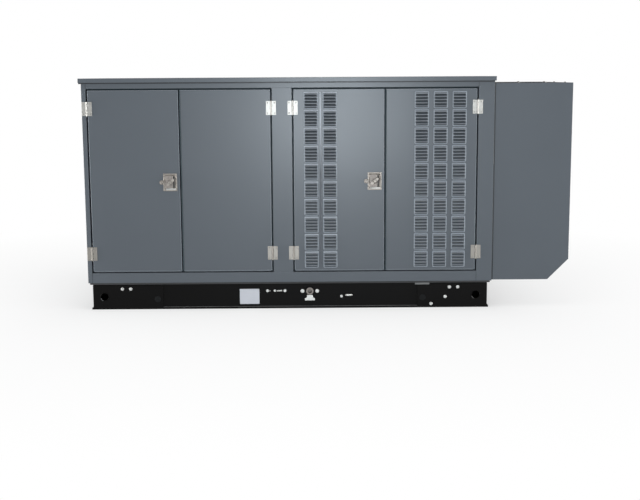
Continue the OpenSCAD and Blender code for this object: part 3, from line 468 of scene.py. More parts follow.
lift_x, tie_x = (skid_x[0] + 0.068, skid_x[1] - 0.068), (plate_x[0] - 0.03, plate_x[1] + 0.03)
lift_z, lift_radius, highlight_radius = 0.075, 0.025, 0.0245
# A paler steel is painted along the lower left of each lifting hole's rim and along the foot lip's top edge:
# painted highlights where these edges catch the light.
steel_painted_highlight = finish("steel_painted_highlight", (0.085, 0.085, 0.085), 0.45, metallic=0.7, patch=(0.35, 0.03),
                    grain=(0.0001, 0.002), spread=0.12)
rims = [copies(torus(lift_radius, 0.002), [(x, plate_y, lift_z) for x in lift_x], OUT)]
piece("lifting_hole_rims", both(rims), skid_black)
highlight_arc = np.radians(np.linspace(186, 262, 14))
hole_highlights = [tube(np.column_stack((x + highlight_radius * np.cos(highlight_arc), np.full(14, plate_y - 0.0005),
                                lift_z + highlight_radius * np.sin(highlight_arc))),
               0.0022 * np.sin(np.linspace(0.35, math.pi - 0.35, 14)), 8) for x in lift_x]
piece("lifting_hole_painted_highlights", hole_highlights, steel_painted_highlight)
lip_line = [(x, web_y - 0.001, 0.011) for x in skid_x]
piece("lip_edge_painted_highlight", both([tube(lip_line, 0.0024, 8)]), steel_painted_highlight)
rubber = finish("rubber", (0.006, 0.0066, 0.007), 0.75, patch=(0.12, 0.05),
                grain=(0.0001, 0.0015), specular=0.15)
# Black rubber plugs fill the tie holes; their black stands in for the shade inside the holes.
plug = turned([(-0.006, 0), (-0.006, 0.0145), (0.0004, 0.0145), (0.0004, 0.0185), (0.0022, 0.0175),
               (0.0032, 0.011), (0.0026, 0)], 24)
piece("tie_hole_plugs_painted_shade", both([copies(plug, [(x, plate_y, 0.06) for x in tie_x], OUT)]), rubber)
# A pale bar with two screws stands at the top of the right lifting plate; its pale colour is a painted
# highlight on the plate's top edge.
pale_highlight_coat = finish("pale_highlight_coat", (0.135, 0.137, 0.135), 0.5, patch=(0.06, 0.03),
                   grain=(0.00005, 0.002))
bar_y = plate_y - 0.003
piece("bracket_edge_highlight_bar", [blocks((0.52, bar_y, 0.1385), (0.605, plate_y, 0.1495)),
                    copies(dome_screw(0.008, 0.002), [(0.532, bar_y, 0.144), (0.593, bar_y, 0.144)], OUT)],
      pale_highlight_coat, round_edges=0.0008)

# ---- Enclosure frame ----
# Folded steel posts, sills and headers are riveted together on the skid's floor and
# powder coated grey. Black bulb seals stand on the door stops.
POWDER_GREY = (0.083, 0.096, 0.111)
grey_coat = finish("grey_powder_coat", POWDER_GREY, 0.315, patch=(0.025, 0.35),
                   grain=(0.00005, 0.0032), rounded=0.0022, dust=0.03, spread=0.02, specular=0.385)
coat(grey_coat, "post_", "sill_", "header_", "roof", "end_panel", "hood_", "door_", "rear_doors")


def highlight_coat(name, colour, roughness, lower=None):
    """The same coat painted pale over a pressed edge, as a painted highlight."""
    return finish(name, colour, roughness, patch=(0.05, 0.1), grain=(0.00004, 0.0032),
                  spread=0.03, specular=0.4, lower=lower)


# Rolled door edges, louvre beads and rolled blade lips take this pale coat as a painted highlight on their
# rounded edges.
edge_highlight = highlight_coat("painted_highlight_on_edges", (0.265, 0.295, 0.33), 0.42)
# Dark foam for the joints; under the roof's lip its dark is partly painted shade.
joint_foam_and_shade = finish("joint_foam_and_shade", (0.022, 0.025, 0.028), 0.33, patch=(0.15, 0.05),
                    grain=(0.0003, 0.003), spread=0.04, specular=0.3)
seal_rubber = finish("seal_rubber", (0.022, 0.037, 0.045), 0.6, patch=(0.12, 0.05),
                     grain=(0.0001, 0.002), spread=0.04, specular=0.35)
stop_y, face_y = -0.4265, -0.4705
seal_x = ((-1.388, -1.3722), (-0.3322, -0.3163), (-0.2003, -0.1845), (0.8642, 0.88))
seal_low, seal_high, bulb, strip_y = 0.2205, 1.2975, 0.0021, -0.4285
seals = []
for a, b in seal_x:
    seals.append(blocks((a, stop_y - 0.0014, seal_low), (b, stop_y, seal_high)))
    seals.append(tube([((a + b) / 2, stop_y - 0.0022, z) for z in (seal_low, seal_high)], bulb, 10))
for a, b in ((seal_x[0][1], seal_x[1][0]), (seal_x[2][1], seal_x[3][0])):
    for z, edge_z in ((seal_low - 0.0005, seal_low + 0.016), (seal_high + 0.0005, seal_high - 0.016)):
        seals.append(blocks((a, strip_y - 0.0015, min(z, edge_z)), (b, strip_y + 0.0015, max(z, edge_z))))
        seals.append(tube([(a, strip_y, edge_z), (b, strip_y, edge_z)], bulb, 10))
piece("door_seals", both(seals), seal_rubber)

# A dark strip of foam closes the joint under the roof's edge on three sides; its dark is partly painted shade
# under the roof's lip.
joint_low, joint_high, joint_x = 1.3255, 1.332, -1.4265
joint = blocks((joint_x, face_y - 0.0098, joint_low), (0.9725, face_y, joint_high))
end_joint = blocks((joint_x, face_y, joint_low), (-1.4135, -face_y, joint_high))
piece("roof_joint", both([joint]) + [end_joint], joint_foam_and_shade, round_edges=0.001)

# A grey foam strip seals the floor plate's edge under the sills; its dark grey is partly painted shade under
# the sills' lower edge.
floor_foam_and_shade = finish("floor_foam_and_shade", (0.05, 0.05, 0.051), 0.7, patch=(0.12, 0.04),
                    grain=(0.0002, 0.002), specular=0.2)
floor_seal = blocks((-1.4035, -0.4655, 0.149), (0.9625, -0.4625, 0.16))
piece("floor_seal", both([floor_seal]), floor_foam_and_shade, round_edges=0.001)

# Sealed joints: sills and headers butt on the end posts, and the hood stands in behind the right one
seams = [blocks((x - 0.001, face_y - 0.0004, a), (x + 0.001, face_y, b))
         for x in (-1.3885, 0.8805) for a, b in ((0.1605, 0.2195), (1.2985, joint_low))]
seams.append(blocks((0.9725, -0.4576, 0.165), (0.9812, -0.4545, 1.317)))
piece("frame_seams", both(seams), joint_foam_and_shade)

# Blind rivets in the posts' inner folds
rivet = turned([(0, 0), (0, 0.0032), (0.0008, 0.003), (0.0014, 0.0012), (0.001, 0)], 10)
heights = np.linspace(0.2, 1.29, 6)
places = [(x, stop_y + 0.0025, z) for x in (-1.38, -0.324, -0.192, 0.872) for z in heights]
piece("frame_rivets", both([copies(rivet, places, BACK)]), zinc)

# ---- Doors ----
# Each door is a folded steel pan, and doors 3 and 4 have blocks of pressed louvres.
# Acoustic foam on washered pins lines them, and filter mats in frames stand behind the louvres.
# What is made here and in the next two sections is kept for the rear side too.
foam_black = finish("acoustic_foam", (0.016, 0.016, 0.017), 0.95, patch=(0.15, 0.12),
                    grain=(0.0016, 0.007), spread=0.02, specular=0.2)
# The filter mats are painted paler from 1.02 m down to 0.72 m: painted light for the pale floor's light
# bouncing up into the lower louvres.
filter_mat_painted_floor_light = finish("filter_mat_painted_floor_light", (0.105, 0.112, 0.12), 0.9, patch=(0.2, 0.03),
                    grain=(0.001, 0.003), spread=0.03, specular=0.2,
                    lower=(1.02, 0.72, (0.205, 0.215, 0.222)))
skin = face_y + 0.0025
door_box = {}
for n in (1, 2, 3, 4):
    low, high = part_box(f"door_{n}")
    door_box[n] = (low[0], high[0], low[2], high[2])
latch_x, latch_z = {1: -0.913154, 3: 0.278846}, 0.756
louvre_span = {3: (0.062, 0.2475), 4: (0.1681, 0.4637)}
washer = turned([(0, 0), (0, 0.0012), (0.0022, 0.0012), (0.0024, 0.018), (0.0036, 0.0184), (0.004, 0.003),
                 (0.0052, 0.0016), (0.0052, 0)], 16)
rear_sets = {}


def fitted(name, forms, material, body, rear, round_edges=0.0, rear_material=None):
    """A piece on the service side. Its forms, mirrored, join the piece called rear, made in the rear
    section."""
    piece(name, forms, material, body, round_edges)
    row = rear_sets.setdefault(rear, (rear_material or material, round_edges, []))
    row[2].extend(mirrored(form) for form in forms)


def frame_bars(x0, x1, z0, z1, y0, y1, wide):
    """Four flat bars round an opening, butted at the corners, as blocks."""
    return blocks([(x0, y0, z0), (x0, y0, z1 - wide), (x0, y0, z0 + wide), (x1 - wide, y0, z0 + wide)],
                  [(x1, y1, z0 + wide), (x1, y1, z1), (x0 + wide, y1, z1 - wide), (x1, y1, z1 - wide)])


def door_lining(n):
    """Foam blocks, their pins, filter mats and mat frames of one door, as four lists of forms."""
    x0, x1, z0, z1 = door_box[n]
    low, high = z0 + 0.022, z1 - 0.022
    foams, pins, mats, frames = [], [], [], []
    frame_y = (skin + 0.0145, skin + 0.016)
    runs = [(x0 + 0.04, x1 - 0.022, low, high)]
    if n in latch_x:
        a, b = latch_x[n] - 0.048, x1 - 0.072
        runs = [(x0 + 0.022, a, low, high), (a, b, low, latch_z - 0.08), (a, b, latch_z + 0.08, high)]
    if n in louvre_span:
        a, b = x0 + louvre_span[n][0] - 0.012, x0 + louvre_span[n][1] + 0.012
        runs[0] = (b + 0.006, runs[0][1], low, high) if n in latch_x else (x0 + 0.04, a - 0.006, low, high)
        mats.append(blocks((a, skin + 0.004, low + 0.002), (b, skin + 0.014, high - 0.002)))
        frames.append(frame_bars(a - 0.004, b + 0.004, low - 0.001, high + 0.001, *frame_y, 0.014))
        rungs = np.linspace(low, high, 5)[1:-1]
        frames.append(blocks([(a + 0.01, frame_y[0], z - 0.006) for z in rungs],
                             [(b - 0.01, frame_y[1], z + 0.006) for z in rungs]))
    for a, b, c, d in runs:
        if b - a > 0.03:
            foams.append(blocks((a, skin + 0.0005, c), (b, skin + 0.0235, d)))
            across, rows = max(1, int((b - a) / 0.17)), max(2, int((d - c) / 0.24))
            xs = np.linspace(a + 0.045, b - 0.045, across) if b - a > 0.12 else [(a + b) / 2]
            zs = np.linspace(c + 0.06, d - 0.06, rows)
            pins.append(copies(washer, [(x, skin + 0.0215, z) for x in xs for z in zs], BACK))
    return foams, pins, mats, frames


for n in door_box:
    foams, pins, mats, frames = door_lining(n)
    fitted(f"door_{n}_foam", foams, foam_black, f"leaf_{n}", "rear_door_foam", 0.003)
    fitted(f"door_{n}_foam_pins", pins, zinc, f"leaf_{n}", "rear_door_foam_pins")
    if mats:
        fitted(f"door_{n}_filter", mats, filter_mat_painted_floor_light, f"leaf_{n}", "rear_filters")
        fitted(f"door_{n}_filter_frame", frames, grey_coat, f"leaf_{n}", "rear_filter_frames", 0.0005)

# The sheet is drawn up in a rounded bead round each block of louvres, with a pressed bar over it.
# The lower edges of its five blades are rolled. Beads, bars and rolled lips are painted pale as highlights.
pitch_x, pitch_z, first_middle = 0.1095, 0.1035, 0.1
block_tops = 1.27 - pitch_z * np.arange(10)
louvre_middles = {3: door_box[3][0] + first_middle + pitch_x * np.arange(2),
                  4: door_box[4][1] - first_middle - pitch_x * np.arange(3)}
bead_half, bead_top, bead_low = 0.038, 0.001, -0.091
bead = tube(rounded_path([(0, 0, bead_top), (bead_half, 0, bead_top), (bead_half, 0, bead_low),
                          (-bead_half, 0, bead_low), (-bead_half, 0, bead_top), (0, 0, bead_top)], 0.005, 4),
            0.0035, 8)
blade_lip = tube([(-0.0375, -0.0002, 0.0086), (-0.03, -0.0076, 0.0086), (0.03, -0.0076, 0.0086),
                  (0.0375, -0.0002, 0.0086)], 0.0013, 8)
five_lips = copies(blade_lip, [(0, 0, -0.018 * k) for k in range(1, 6)])
block_bar = tube([(-0.0405, 0, -0.0008), (0.0405, 0, -0.0008)], 0.0042, 10)


def on_blocks(form, middles, tops, y):
    """A form on every block of louvres, with their middles in X and tops in Z."""
    return copies(form, [(x, y, z) for x in middles for z in tops])


def edge_fold(n):
    """The rolled outer edge of one door, all round its face."""
    x0, x1, z0, z1 = door_box[n]
    middle, inset, y = (x0 + x1) / 2, 0.0012, face_y + 0.0012
    loop = rounded_path([(middle, y, z1 - inset), (x1 - inset, y, z1 - inset), (x1 - inset, y, z0 + inset),
                         (x0 + inset, y, z0 + inset), (x0 + inset, y, z1 - inset), (middle, y, z1 - inset)],
                        0.003, 3)
    return tube(loop, 0.0015, 8)


# The bars over the louvre blocks are painted pale as a highlight, paler on door 3, which stands in the soft
# box's sheen, than on door 4.
bar_highlight = highlight_coat("painted_highlight_on_bars", (0.4, 0.435, 0.475), 0.4)
crease_highlight = highlight_coat("painted_highlight_on_crease", (0.42, 0.46, 0.5), 0.36, (1.1, 0.8, POWDER_GREY))
bar_highlight_by_door = {3: bar_highlight, 4: edge_highlight}
for n in door_box:
    pressed = [edge_fold(n)]
    if n in louvre_middles:
        pressed.append(on_blocks(bead, louvre_middles[n], block_tops, face_y + 0.0006))
        pressed.append(on_blocks(five_lips, louvre_middles[n], block_tops, face_y))
        fitted(f"door_{n}_block_bars", [on_blocks(block_bar, louvre_middles[n], block_tops, face_y)],
               bar_highlight_by_door[n], f"leaf_{n}", "rear_block_bars")
    fitted(f"door_{n}_pressed_edges", pressed, edge_highlight, f"leaf_{n}", "rear_pressed_edges")
# The crease between door 3's two louvre columns is painted pale as a highlight, fading to the grey coat from
# 1.1 m down to 0.8 m as the lamp's sheen fades.
crease_x = (louvre_middles[3][0] + louvre_middles[3][1]) / 2
crease = tube([(crease_x, face_y + 0.0015, z) for z in (0.262, 1.272)], 0.0048, 12)
fitted("door_3_crease", [crease], crease_highlight, "leaf_3", "rear_crease")

# A rubber trim on the free edges of doors 2 and 4 laps their face and narrows the gap between each pair
for n in (2, 4):
    x0, _, z0, z1 = door_box[n]
    low, high = z0 + 0.003, z1 - 0.003
    trim = [blocks((x0 - 0.0052, face_y + 0.007, low), (x0, face_y + 0.01, high)),
            tube([(x0 - 0.0048, face_y + 0.0085, low), (x0 - 0.0048, face_y + 0.0085, high)], 0.0017, 10),
            tube([(x0 + 0.0014, face_y + 0.0008, low), (x0 + 0.0014, face_y + 0.0008, high)], 0.0025, 10)]
    piece(f"door_{n}_edge_lip", trim, seal_rubber, f"leaf_{n}")
rear_trims = [mirrored(blocks((door_box[n][1], face_y + 0.007, 0.233),
                              (door_box[n + 1][0], face_y + 0.01, 1.285)))
              for n in (1, 3)]
piece("rear_edge_lips", rear_trims, seal_rubber, round_edges=0.001)

# A folded hem stands down from each door into the gap over the sill
for n, (x0, x1, z0, _) in door_box.items():
    hem = blocks((x0 + 0.006, face_y + 0.004, z0 - 0.0055), (x1 - 0.006, face_y + 0.008, z0 + 0.001))
    fitted(f"door_{n}_hem", [hem], grey_coat, f"leaf_{n}", "rear_hems", 0.0008)

# Rod lock inside doors 1 and 3: a closed gear case with two flat rods in guides
for n, x in latch_x.items():
    _, _, z0, z1 = door_box[n]
    case = [blocks((x - 0.03, skin, latch_z - 0.055), (x + 0.03, skin + 0.017, latch_z + 0.055)),
            blocks((x - 0.04, skin, latch_z - 0.07), (x + 0.04, skin + 0.003, latch_z + 0.07)),
            copies(dome_screw(0.007, 0.002), [(x + s, skin + 0.017, latch_z + t) for s in (-0.022, 0.022)
                                              for t in (-0.046, 0.046)], BACK)]
    rods = [blocks([(x - 0.007, skin + 0.006, z0 + 0.012), (x - 0.007, skin + 0.006, latch_z + 0.05)],
                   [(x + 0.007, skin + 0.011, latch_z - 0.05), (x + 0.007, skin + 0.011, z1 - 0.012)])]
    for z in (z0 + 0.06, z0 + 0.29, z1 - 0.29, z1 - 0.06):
        a, b = z - 0.01, z + 0.01
        rods.append(blocks([(x - 0.016, skin, a), (x + 0.01, skin, a), (x - 0.016, skin + 0.0125, a)],
                           [(x - 0.01, skin + 0.0125, b), (x + 0.016, skin + 0.0125, b),
                            (x + 0.016, skin + 0.015, b)]))
    fitted(f"door_{n}_lock_case", case, zinc, f"leaf_{n}", "rear_lock_cases", 0.0008)
    fitted(f"door_{n}_lock_rods", rods, zinc, f"leaf_{n}", "rear_lock_rods", 0.0004)

# Slide bolts at the free edges of doors 2 and 4
for n in (2, 4):
    x0, _, z0, z1 = door_box[n]
    x, bolt_y, forms = x0 + 0.029, skin + 0.01, []
    for z, s in ((z0 + 0.075, -1), (z1 - 0.075, 1)):
        forms.append(blocks((x - 0.009, skin, z - 0.035), (x + 0.009, skin + 0.002, z + 0.035)))
        forms.append(tube([(x, bolt_y, z - s * 0.034), (x, bolt_y, z + s * 0.05)], 0.005, 12))
        forms.append(tube([(x, bolt_y, z - s * 0.01), (x, skin + 0.024, z - s * 0.01)], 0.0035, 10))
        forms.append(blocks([(x - 0.008, skin, z - 0.027), (x - 0.008, skin, z + 0.012)],
                            [(x + 0.008, skin + 0.0165, z - 0.019), (x + 0.008, skin + 0.0165, z + 0.02)]))
    fitted(f"door_{n}_slide_bolts", forms, zinc, f"leaf_{n}", "rear_slide_bolts", 0.0005)

# ---- Hinges ----
# Bare stainless knuckle hinges, one leaf riveted to the door and one to the post.
# The pins end in shallow domes.
# The stainless is painted darker and warmer from 1 m down to 0.5 m: painted shade for the low hinges and
# fittings, which lie outside the lamp's sheen.
stainless = finish("brushed_stainless_painted_shade_low", (0.315, 0.308, 0.29), 0.4, metallic=1.0,
                   patch=(0.18, 0.02), grain=(0.00005, 0.0014), stretch=(1.0, 1.0, 0.12), rounded=0.0009,
                   lower=(1.0, 0.5, (0.24, 0.226, 0.205)))
screw_steel = finish("screw_steel", (0.26, 0.25, 0.235), 0.45, metallic=1.0, patch=(0.2, 0.01),
                     grain=(0.00004, 0.001), spread=0.08)
coat(stainless, "door_1_hinges", "door_2_hinges", "door_3_hinges", "door_4_hinges", "frame_hinges",
     "rear_hinges")
hinge_x = {1: -1.3835, 2: -0.320808, 3: -0.195808, 4: 0.8755}
hinge_z, hinge_y, knuckle_y = (0.335, 1.183), -0.473, -0.476
screw_z = [z + t for z in hinge_z for t in (-0.0295, 0.0295)]
hinge_screw = dome_screw(0.0085, 0.0022)
pin_cap = turned([(-0.001, 0), (-0.001, 0.0042), (0.0012, 0.0042), (0.0024, 0.0026), (0.0028, 0)], 14)
frame_screws, caps = [], []
for n, x in hinge_x.items():
    reach = 0.0205 if n in latch_x else -0.0205
    door_screws = copies(hinge_screw, [(x + reach, hinge_y, z) for z in screw_z], OUT)
    fitted(f"door_{n}_hinge_screws", [door_screws], screw_steel, f"leaf_{n}", "rear_hinge_screws")
    frame_screws += [(x - reach, hinge_y, z) for z in screw_z]
    caps.append(copies(pin_cap, [(x, knuckle_y, z + 0.04) for z in hinge_z]))
    caps.append(copies(pin_cap, [(x, knuckle_y, z - 0.04) for z in hinge_z], DOWN))
fitted("frame_hinge_screws", [copies(hinge_screw, frame_screws, OUT)], screw_steel, "housing",
       "rear_hinge_screws")
fitted("hinge_pin_ends", caps, stainless, "housing", "rear_pin_ends")

# ---- Latches ----
# A stainless dish is riveted to doors 1 and 3, with a lock barrel beside it. Its lower edge is painted bright
# as a highlight.
# The round-ended lever lies aslant under a snap ring, and a finger recess is pressed in at its right; the
# recess and the barrel's key slot are painted dark as their shade.
latch_steel = finish("latch_steel", (0.215, 0.196, 0.176), 0.42, metallic=1.0,
                     patch=(0.45, 0.012), grain=(0.00012, 0.002), rounded=0.0022, spread=0.08)
coat(latch_steel, "latch_", "handle_", "rear_latches")
# Dark steel painted in the finger recess and on the barrel's key slot stands for their shade.
painted_recess_shade = finish("painted_shade_in_recess", (0.035, 0.034, 0.033), 0.5, metallic=0.6,
                    patch=(0.15, 0.02), grain=(0.00008, 0.002))
# The dish's floor is painted darker, brown and mottled: painted shade and reflection in the recessed dish.
dish_floor_shade_and_reflection = finish("dish_painted_shade_and_reflection", (0.195, 0.175, 0.16), 0.5, metallic=0.9,
                    patch=(0.45, 0.01), grain=(0.0004, 0.006), spread=0.08)
# The dish's lower lip is painted bright as a highlight.
latch_lip_highlight = finish("painted_highlight_steel", (0.42, 0.43, 0.42), 0.36, metallic=1.0, patch=(0.15, 0.01),
                     grain=(0.00005, 0.0014), rounded=0.001)
dish_y, barrel_y = face_y - 0.003, face_y - 0.011
dish_rivet = turned([(0, 0), (0, 0.0045), (0.001, 0.0042), (0.002, 0.002), (0.0022, 0)], 12)
barrel = turned([(0, 0), (0, 0.0095), (0.0018, 0.0092), (0.0024, 0.008), (0.0014, 0.0072), (0.0014, 0)], 24)


def latch_detail(x):
    """What stands on one latch dish, as forms: in bright steel; in dark steel painted as the shade of the
    recess and the key slot; on the lever; on the dish's floor, painted as shade and reflection; and on its
    lower edge, painted as a highlight."""
    half, tall, y = 0.0335, 0.0445, dish_y - 0.0028
    bright = []
    for s in EITHER_WAY:
        z, edge = latch_z + s * tall, x + s * half
        bright.append(prism([(dish_y, z), (y, z), (dish_y, latch_z + s * 0.037)], 0, x - half, x + half))
        bright.append(prism([(edge, dish_y), (edge, y), (x + s * 0.0275, dish_y)], 2, latch_z - tall,
                            latch_z + tall))
    sill = [prism([(dish_y, latch_z - 0.033), (dish_y, latch_z - tall), (dish_y - 0.0068, latch_z - tall)],
                  0, x - 0.024, x + half)]
    pan = [blocks((x + a, dish_y - 0.0004, latch_z + low), (x + b, dish_y, latch_z + high))
           for low, high, a, b in ((-0.043, 0.043, -0.032, 0.0125), (-0.043, -0.038, 0.0125, 0.032),
                                   (0.038, 0.043, 0.0125, 0.032), (-0.038, 0.038, 0.029, 0.032))]
    corners = [(x + s, dish_y, latch_z + t) for s in (-0.03, 0.03) for t in (-0.041, 0.041)]
    bright += [copies(dish_rivet, corners, OUT),
               copies(torus(0.015, 0.0014, 28, 8), (x, dish_y, latch_z), OUT)]
    left, right, low, high, y = x + 0.0145, x + 0.0275, latch_z - 0.036, latch_z + 0.036, dish_y - 0.0012
    bright.append(tube(rounded_path([(left, y, low), (left, y, high), (right, y, high), (right, y, low),
                                     (left, y, low)], 0.006), 0.0012, 8))
    bright.append(copies(barrel, (x - 0.05, barrel_y, latch_z), OUT))
    dark = [blocks((x + 0.016, dish_y - 0.0006, latch_z - 0.034), (x + 0.026, dish_y, latch_z + 0.034)),
            blocks((x - 0.051, barrel_y - 0.002, latch_z - 0.0045),
                   (x - 0.049, barrel_y - 0.0014, latch_z + 0.0045))]
    lever = [copies(torus(0.0092, 0.0012, 28, 8), (x, face_y - 0.0163, latch_z), OUT)]
    return bright, dark, lever, pan, sill


for n, x in latch_x.items():
    bright, dark, lever, pan, sill = latch_detail(x)
    leaf, rear_bright = f"leaf_{n}", "rear_latch_rivets_and_barrels"
    fitted(f"latch_{n}_rivets_and_barrel", bright, latch_steel, leaf, rear_bright, rear_material=stainless)
    fitted(f"latch_{n}_lower_edge", sill, latch_lip_highlight, leaf, rear_bright)
    fitted(f"latch_{n}_dish_floor", pan, dish_floor_shade_and_reflection, leaf, "rear_dish_floors")
    fitted(f"latch_{n}_recess", dark, painted_recess_shade, leaf, "rear_latch_recesses")
    fitted(f"handle_{n}_snap_ring", lever, screw_steel, f"lever_{n}", "rear_handle_screws")

# ---- Rear side ----
# The rear doors, hinges and latches repeat those of the service side.
# Their linings, locks and edges are the same forms mirrored, and stand on the housing.
for name, (material, round_edges, forms) in rear_sets.items():
    piece(name, forms, material, "housing", round_edges)

# ---- End panel ----
# The louvred end panel is screwed between the corner posts.
# A filter mat stands behind its louvres and foam lines the rest.


def screwed(name, places, turn, across, height):
    """A piece of dome screws at places, all turned the same way."""
    piece(name, [copies(dome_screw(across, height), places, turn)], screw_steel)


panel_x = -1.4135
places = [(panel_x, y, z) for y in (-0.394, 0.394) for z in np.linspace(0.19, 1.3, 7)]
screwed("end_panel_screws", places, LEFT, 0.0085, 0.0022)
mat_y, low, high = 0.216, 0.302, 1.19
points, faces = on_blocks(bead, pitch_x * (np.arange(4) - 1.5), 1.182 - pitch_z * np.arange(8), 0.0)
end_beads = (np.column_stack((points[:, 1] + panel_x + 0.0006, -points[:, 0], points[:, 2])), faces)
piece("end_louvre_beads", [end_beads], grey_coat)
piece("end_filter", [blocks((panel_x + 0.0065, -mat_y, low), (panel_x + 0.0165, mat_y, high))], filter_mat_painted_floor_light)
back_x, front_x, rung_z = panel_x + 0.017, panel_x + 0.0186, np.linspace(low, high, 5)
end_frame = blocks([(back_x, -mat_y - 0.004, low - 0.004), (back_x, mat_y - 0.01, low - 0.004)],
                   [(front_x, -mat_y + 0.01, high + 0.004), (front_x, mat_y + 0.004, high + 0.004)])
rungs = blocks([(back_x, -mat_y + 0.01, z - 0.007) for z in rung_z],
               [(front_x, mat_y - 0.01, z + 0.007) for z in rung_z])
piece("end_filter_frame", [end_frame, rungs], grey_coat, round_edges=0.0005)
back_x, front_x = panel_x + 0.003, panel_x + 0.0235
end_foam = blocks([(back_x, -0.4, 0.175), (back_x, 0.224, 0.175), (back_x, -0.222, 0.175),
                   (back_x, -0.222, 1.198)],
                  [(front_x, -0.224, 1.318), (front_x, 0.4, 1.318), (front_x, 0.222, 0.294),
                   (front_x, 0.222, 1.318)])
piece("end_foam", [end_foam], foam_black, round_edges=0.003)

# ---- Roof ----
# The roof is one folded pan. Low screws hold its edge to the headers and foam fills it.
roof_low, roof_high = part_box("roof")
piece("roof_foam", [blocks((-1.384, -0.436, 1.33), (0.88, 0.436, 1.3535))], foam_black, round_edges=0.003)
places = [(x, s * (roof_high[1] - 0.0205), 1.332)
          for x in np.linspace(roof_low[0] + 0.02, roof_high[0] - 0.02, 11) for s in EITHER_WAY]
screwed("roof_screws", places, DOWN, 0.01, 0.003)

# ---- Discharge hood ----
# The hood's folded sides and end carry foam and stiff flanges, and a bar grille closes the top
# over a woven wire guard. The place of the badge on its side is bare.
side_y = 0.4545
hood_x0, hood_x1, hood_z0, hood_z1 = 0.9725, 1.4285, 0.163, 1.318
dark_grille = finish("grille_coat", (0.03, 0.033, 0.036), 0.45, patch=(0.08, 0.2),
                     grain=(0.00006, 0.002), rounded=0.0012, dust=0.15, specular=0.3)
coat(dark_grille, "hood_grille")
lining = [(hood_z0 + 0.006, hood_x0 + 0.03), (hood_z0 + 0.006, hood_x1 - 0.13),
          (hood_z0 + 0.12, hood_x1 - 0.012),
          (hood_z1 - 0.07, hood_x1 - 0.012), (hood_z1 - 0.07, hood_x0 + 0.03)]
hood_foam = both([prism(lining, 1, -side_y + 0.003, -side_y + 0.022)])
hood_foam.append(blocks((hood_x1 - 0.0235, -0.425, hood_z0 + 0.13), (hood_x1 - 0.003, 0.425, hood_z1 - 0.07)))
piece("hood_foam", hood_foam, foam_black, round_edges=0.003)
pin_z = np.linspace(0.36, 1.18, 5)
pins = both([copies(washer, [(x, -side_y + 0.02, z) for x in (1.05, 1.2, 1.35) for z in pin_z], BACK)])
pins.append(copies(washer, [(hood_x1 - 0.0215, y, z) for y in (-0.3, -0.1, 0.1, 0.3) for z in pin_z], LEFT))
piece("hood_foam_pins", pins, zinc)
guard_z, wire = 1.303, 0.0011
wires = [tube([(hood_x0 + 0.004, y, guard_z), (hood_x1 - 0.004, y, guard_z)], wire, 6)
         for y in np.linspace(-0.44, 0.44, 41)]
wires += [tube([(x, -0.45, guard_z + 2 * wire), (x, 0.45, guard_z + 2 * wire)], wire, 6)
          for x in np.linspace(hood_x0 + 0.012, hood_x1 - 0.012, 21)]
piece("hood_wire_guard", wires, zinc)
places = [(x, s * 0.4395, hood_z1) for x in (1.115, 1.273) for s in EITHER_WAY]
places += [(hood_x1 - 0.014, y, hood_z1) for y in (-0.3, 0.0, 0.3)]
screwed("grille_screws", places, UP, 0.014, 0.0045)
places = [(hood_x1 - 0.003, y, z) for y in (-0.425, 0.425) for z in (0.4, 0.7, 1.0, 1.27)]
screwed("hood_end_screws", places, RIGHT, 0.01, 0.0028)

# ---- Engine ----
# A cast block with a ribbed crankcase stands on rubber mounts. Its covers are held by rows of bolts,
# and the moulded intake and air cleaner sit on the service side.
cast_paint = finish("engine_paint", (0.085, 0.095, 0.102), 0.52, patch=(0.1, 0.08),
                    grain=(0.00035, 0.003), rounded=0.002, dust=0.1, spread=0.08, specular=0.4)
moulded = finish("moulded_black_covers", (0.013, 0.0135, 0.014), 0.45, patch=(0.08, 0.1),
                 grain=(0.0001, 0.0012), rounded=0.0015, dust=0.06, specular=0.4)
bare_alloy = finish("cast_alloy", (0.33, 0.33, 0.32), 0.48, metallic=1.0, patch=(0.12, 0.04),
                    grain=(0.0002, 0.002), spread=0.08)
coat(cast_paint, "engine")
coat(moulded, "engine_top", "belt_drive", "fan", "battery")
ex0, ex1, z_crank, z_fan, foot_z = -0.0575, 0.5425, 0.48, 0.63, 0.178
M8, M10 = (0.013, 0.0055), (0.017, 0.007)  # across flats and height of head


def ring(axis, level, centre, radius, count, start=0.0):
    """Places on a circle square to an axis, at start + k of a turn over count, with k from 0 to count - 1. It
    stands at level on that axis, and centre is on the other two."""
    angle = start + np.arange(count) * 2 * np.pi / count
    circle = np.column_stack((centre[0] + radius * np.cos(angle), centre[1] + radius * np.sin(angle)))
    return np.insert(circle, axis, level, axis=1)


cover_x, mount_x, crank = ex1 + 0.042, (ex0 + 0.12, ex1 - 0.12), (0.0, z_crank)
port_x = ex0 + 0.105 + np.arange(4) * 0.13
timing = ring(0, cover_x, crank, 0.103, 7, 3.6)
timing_corners = ((0.083, z_fan - 0.02), (0.062, z_fan + 0.042), (0.112, z_crank - 0.165),
                  (0.112, z_crank - 0.06))
bell_housing = ring(0, ex0 - 0.076, crank, 0.228, 12, 0.26)
bolts = bolted(timing[timing[:, 2] < z_crank + 0.06], RIGHT, *M8)
bolts += bolted([(cover_x, s * y, z) for s in EITHER_WAY for y, z in timing_corners], RIGHT, *M8)
bolts += bolted(bell_housing[abs(bell_housing[:, 1]) > 0.06], RIGHT, *M10)
bolts += bolted([(x, s * 0.105, z_crank + 0.36) for x in np.linspace(ex0 + 0.045, ex1 - 0.095, 6)
                 for s in EITHER_WAY],
                UP, 0.01, 0.0045)
bolts += bolted([(x, s * 0.1365, z_crank - 0.198) for x in np.linspace(ex0 + 0.045, ex1 - 0.035, 9)
                 for s in EITHER_WAY],
                DOWN, 0.009, 0.004)
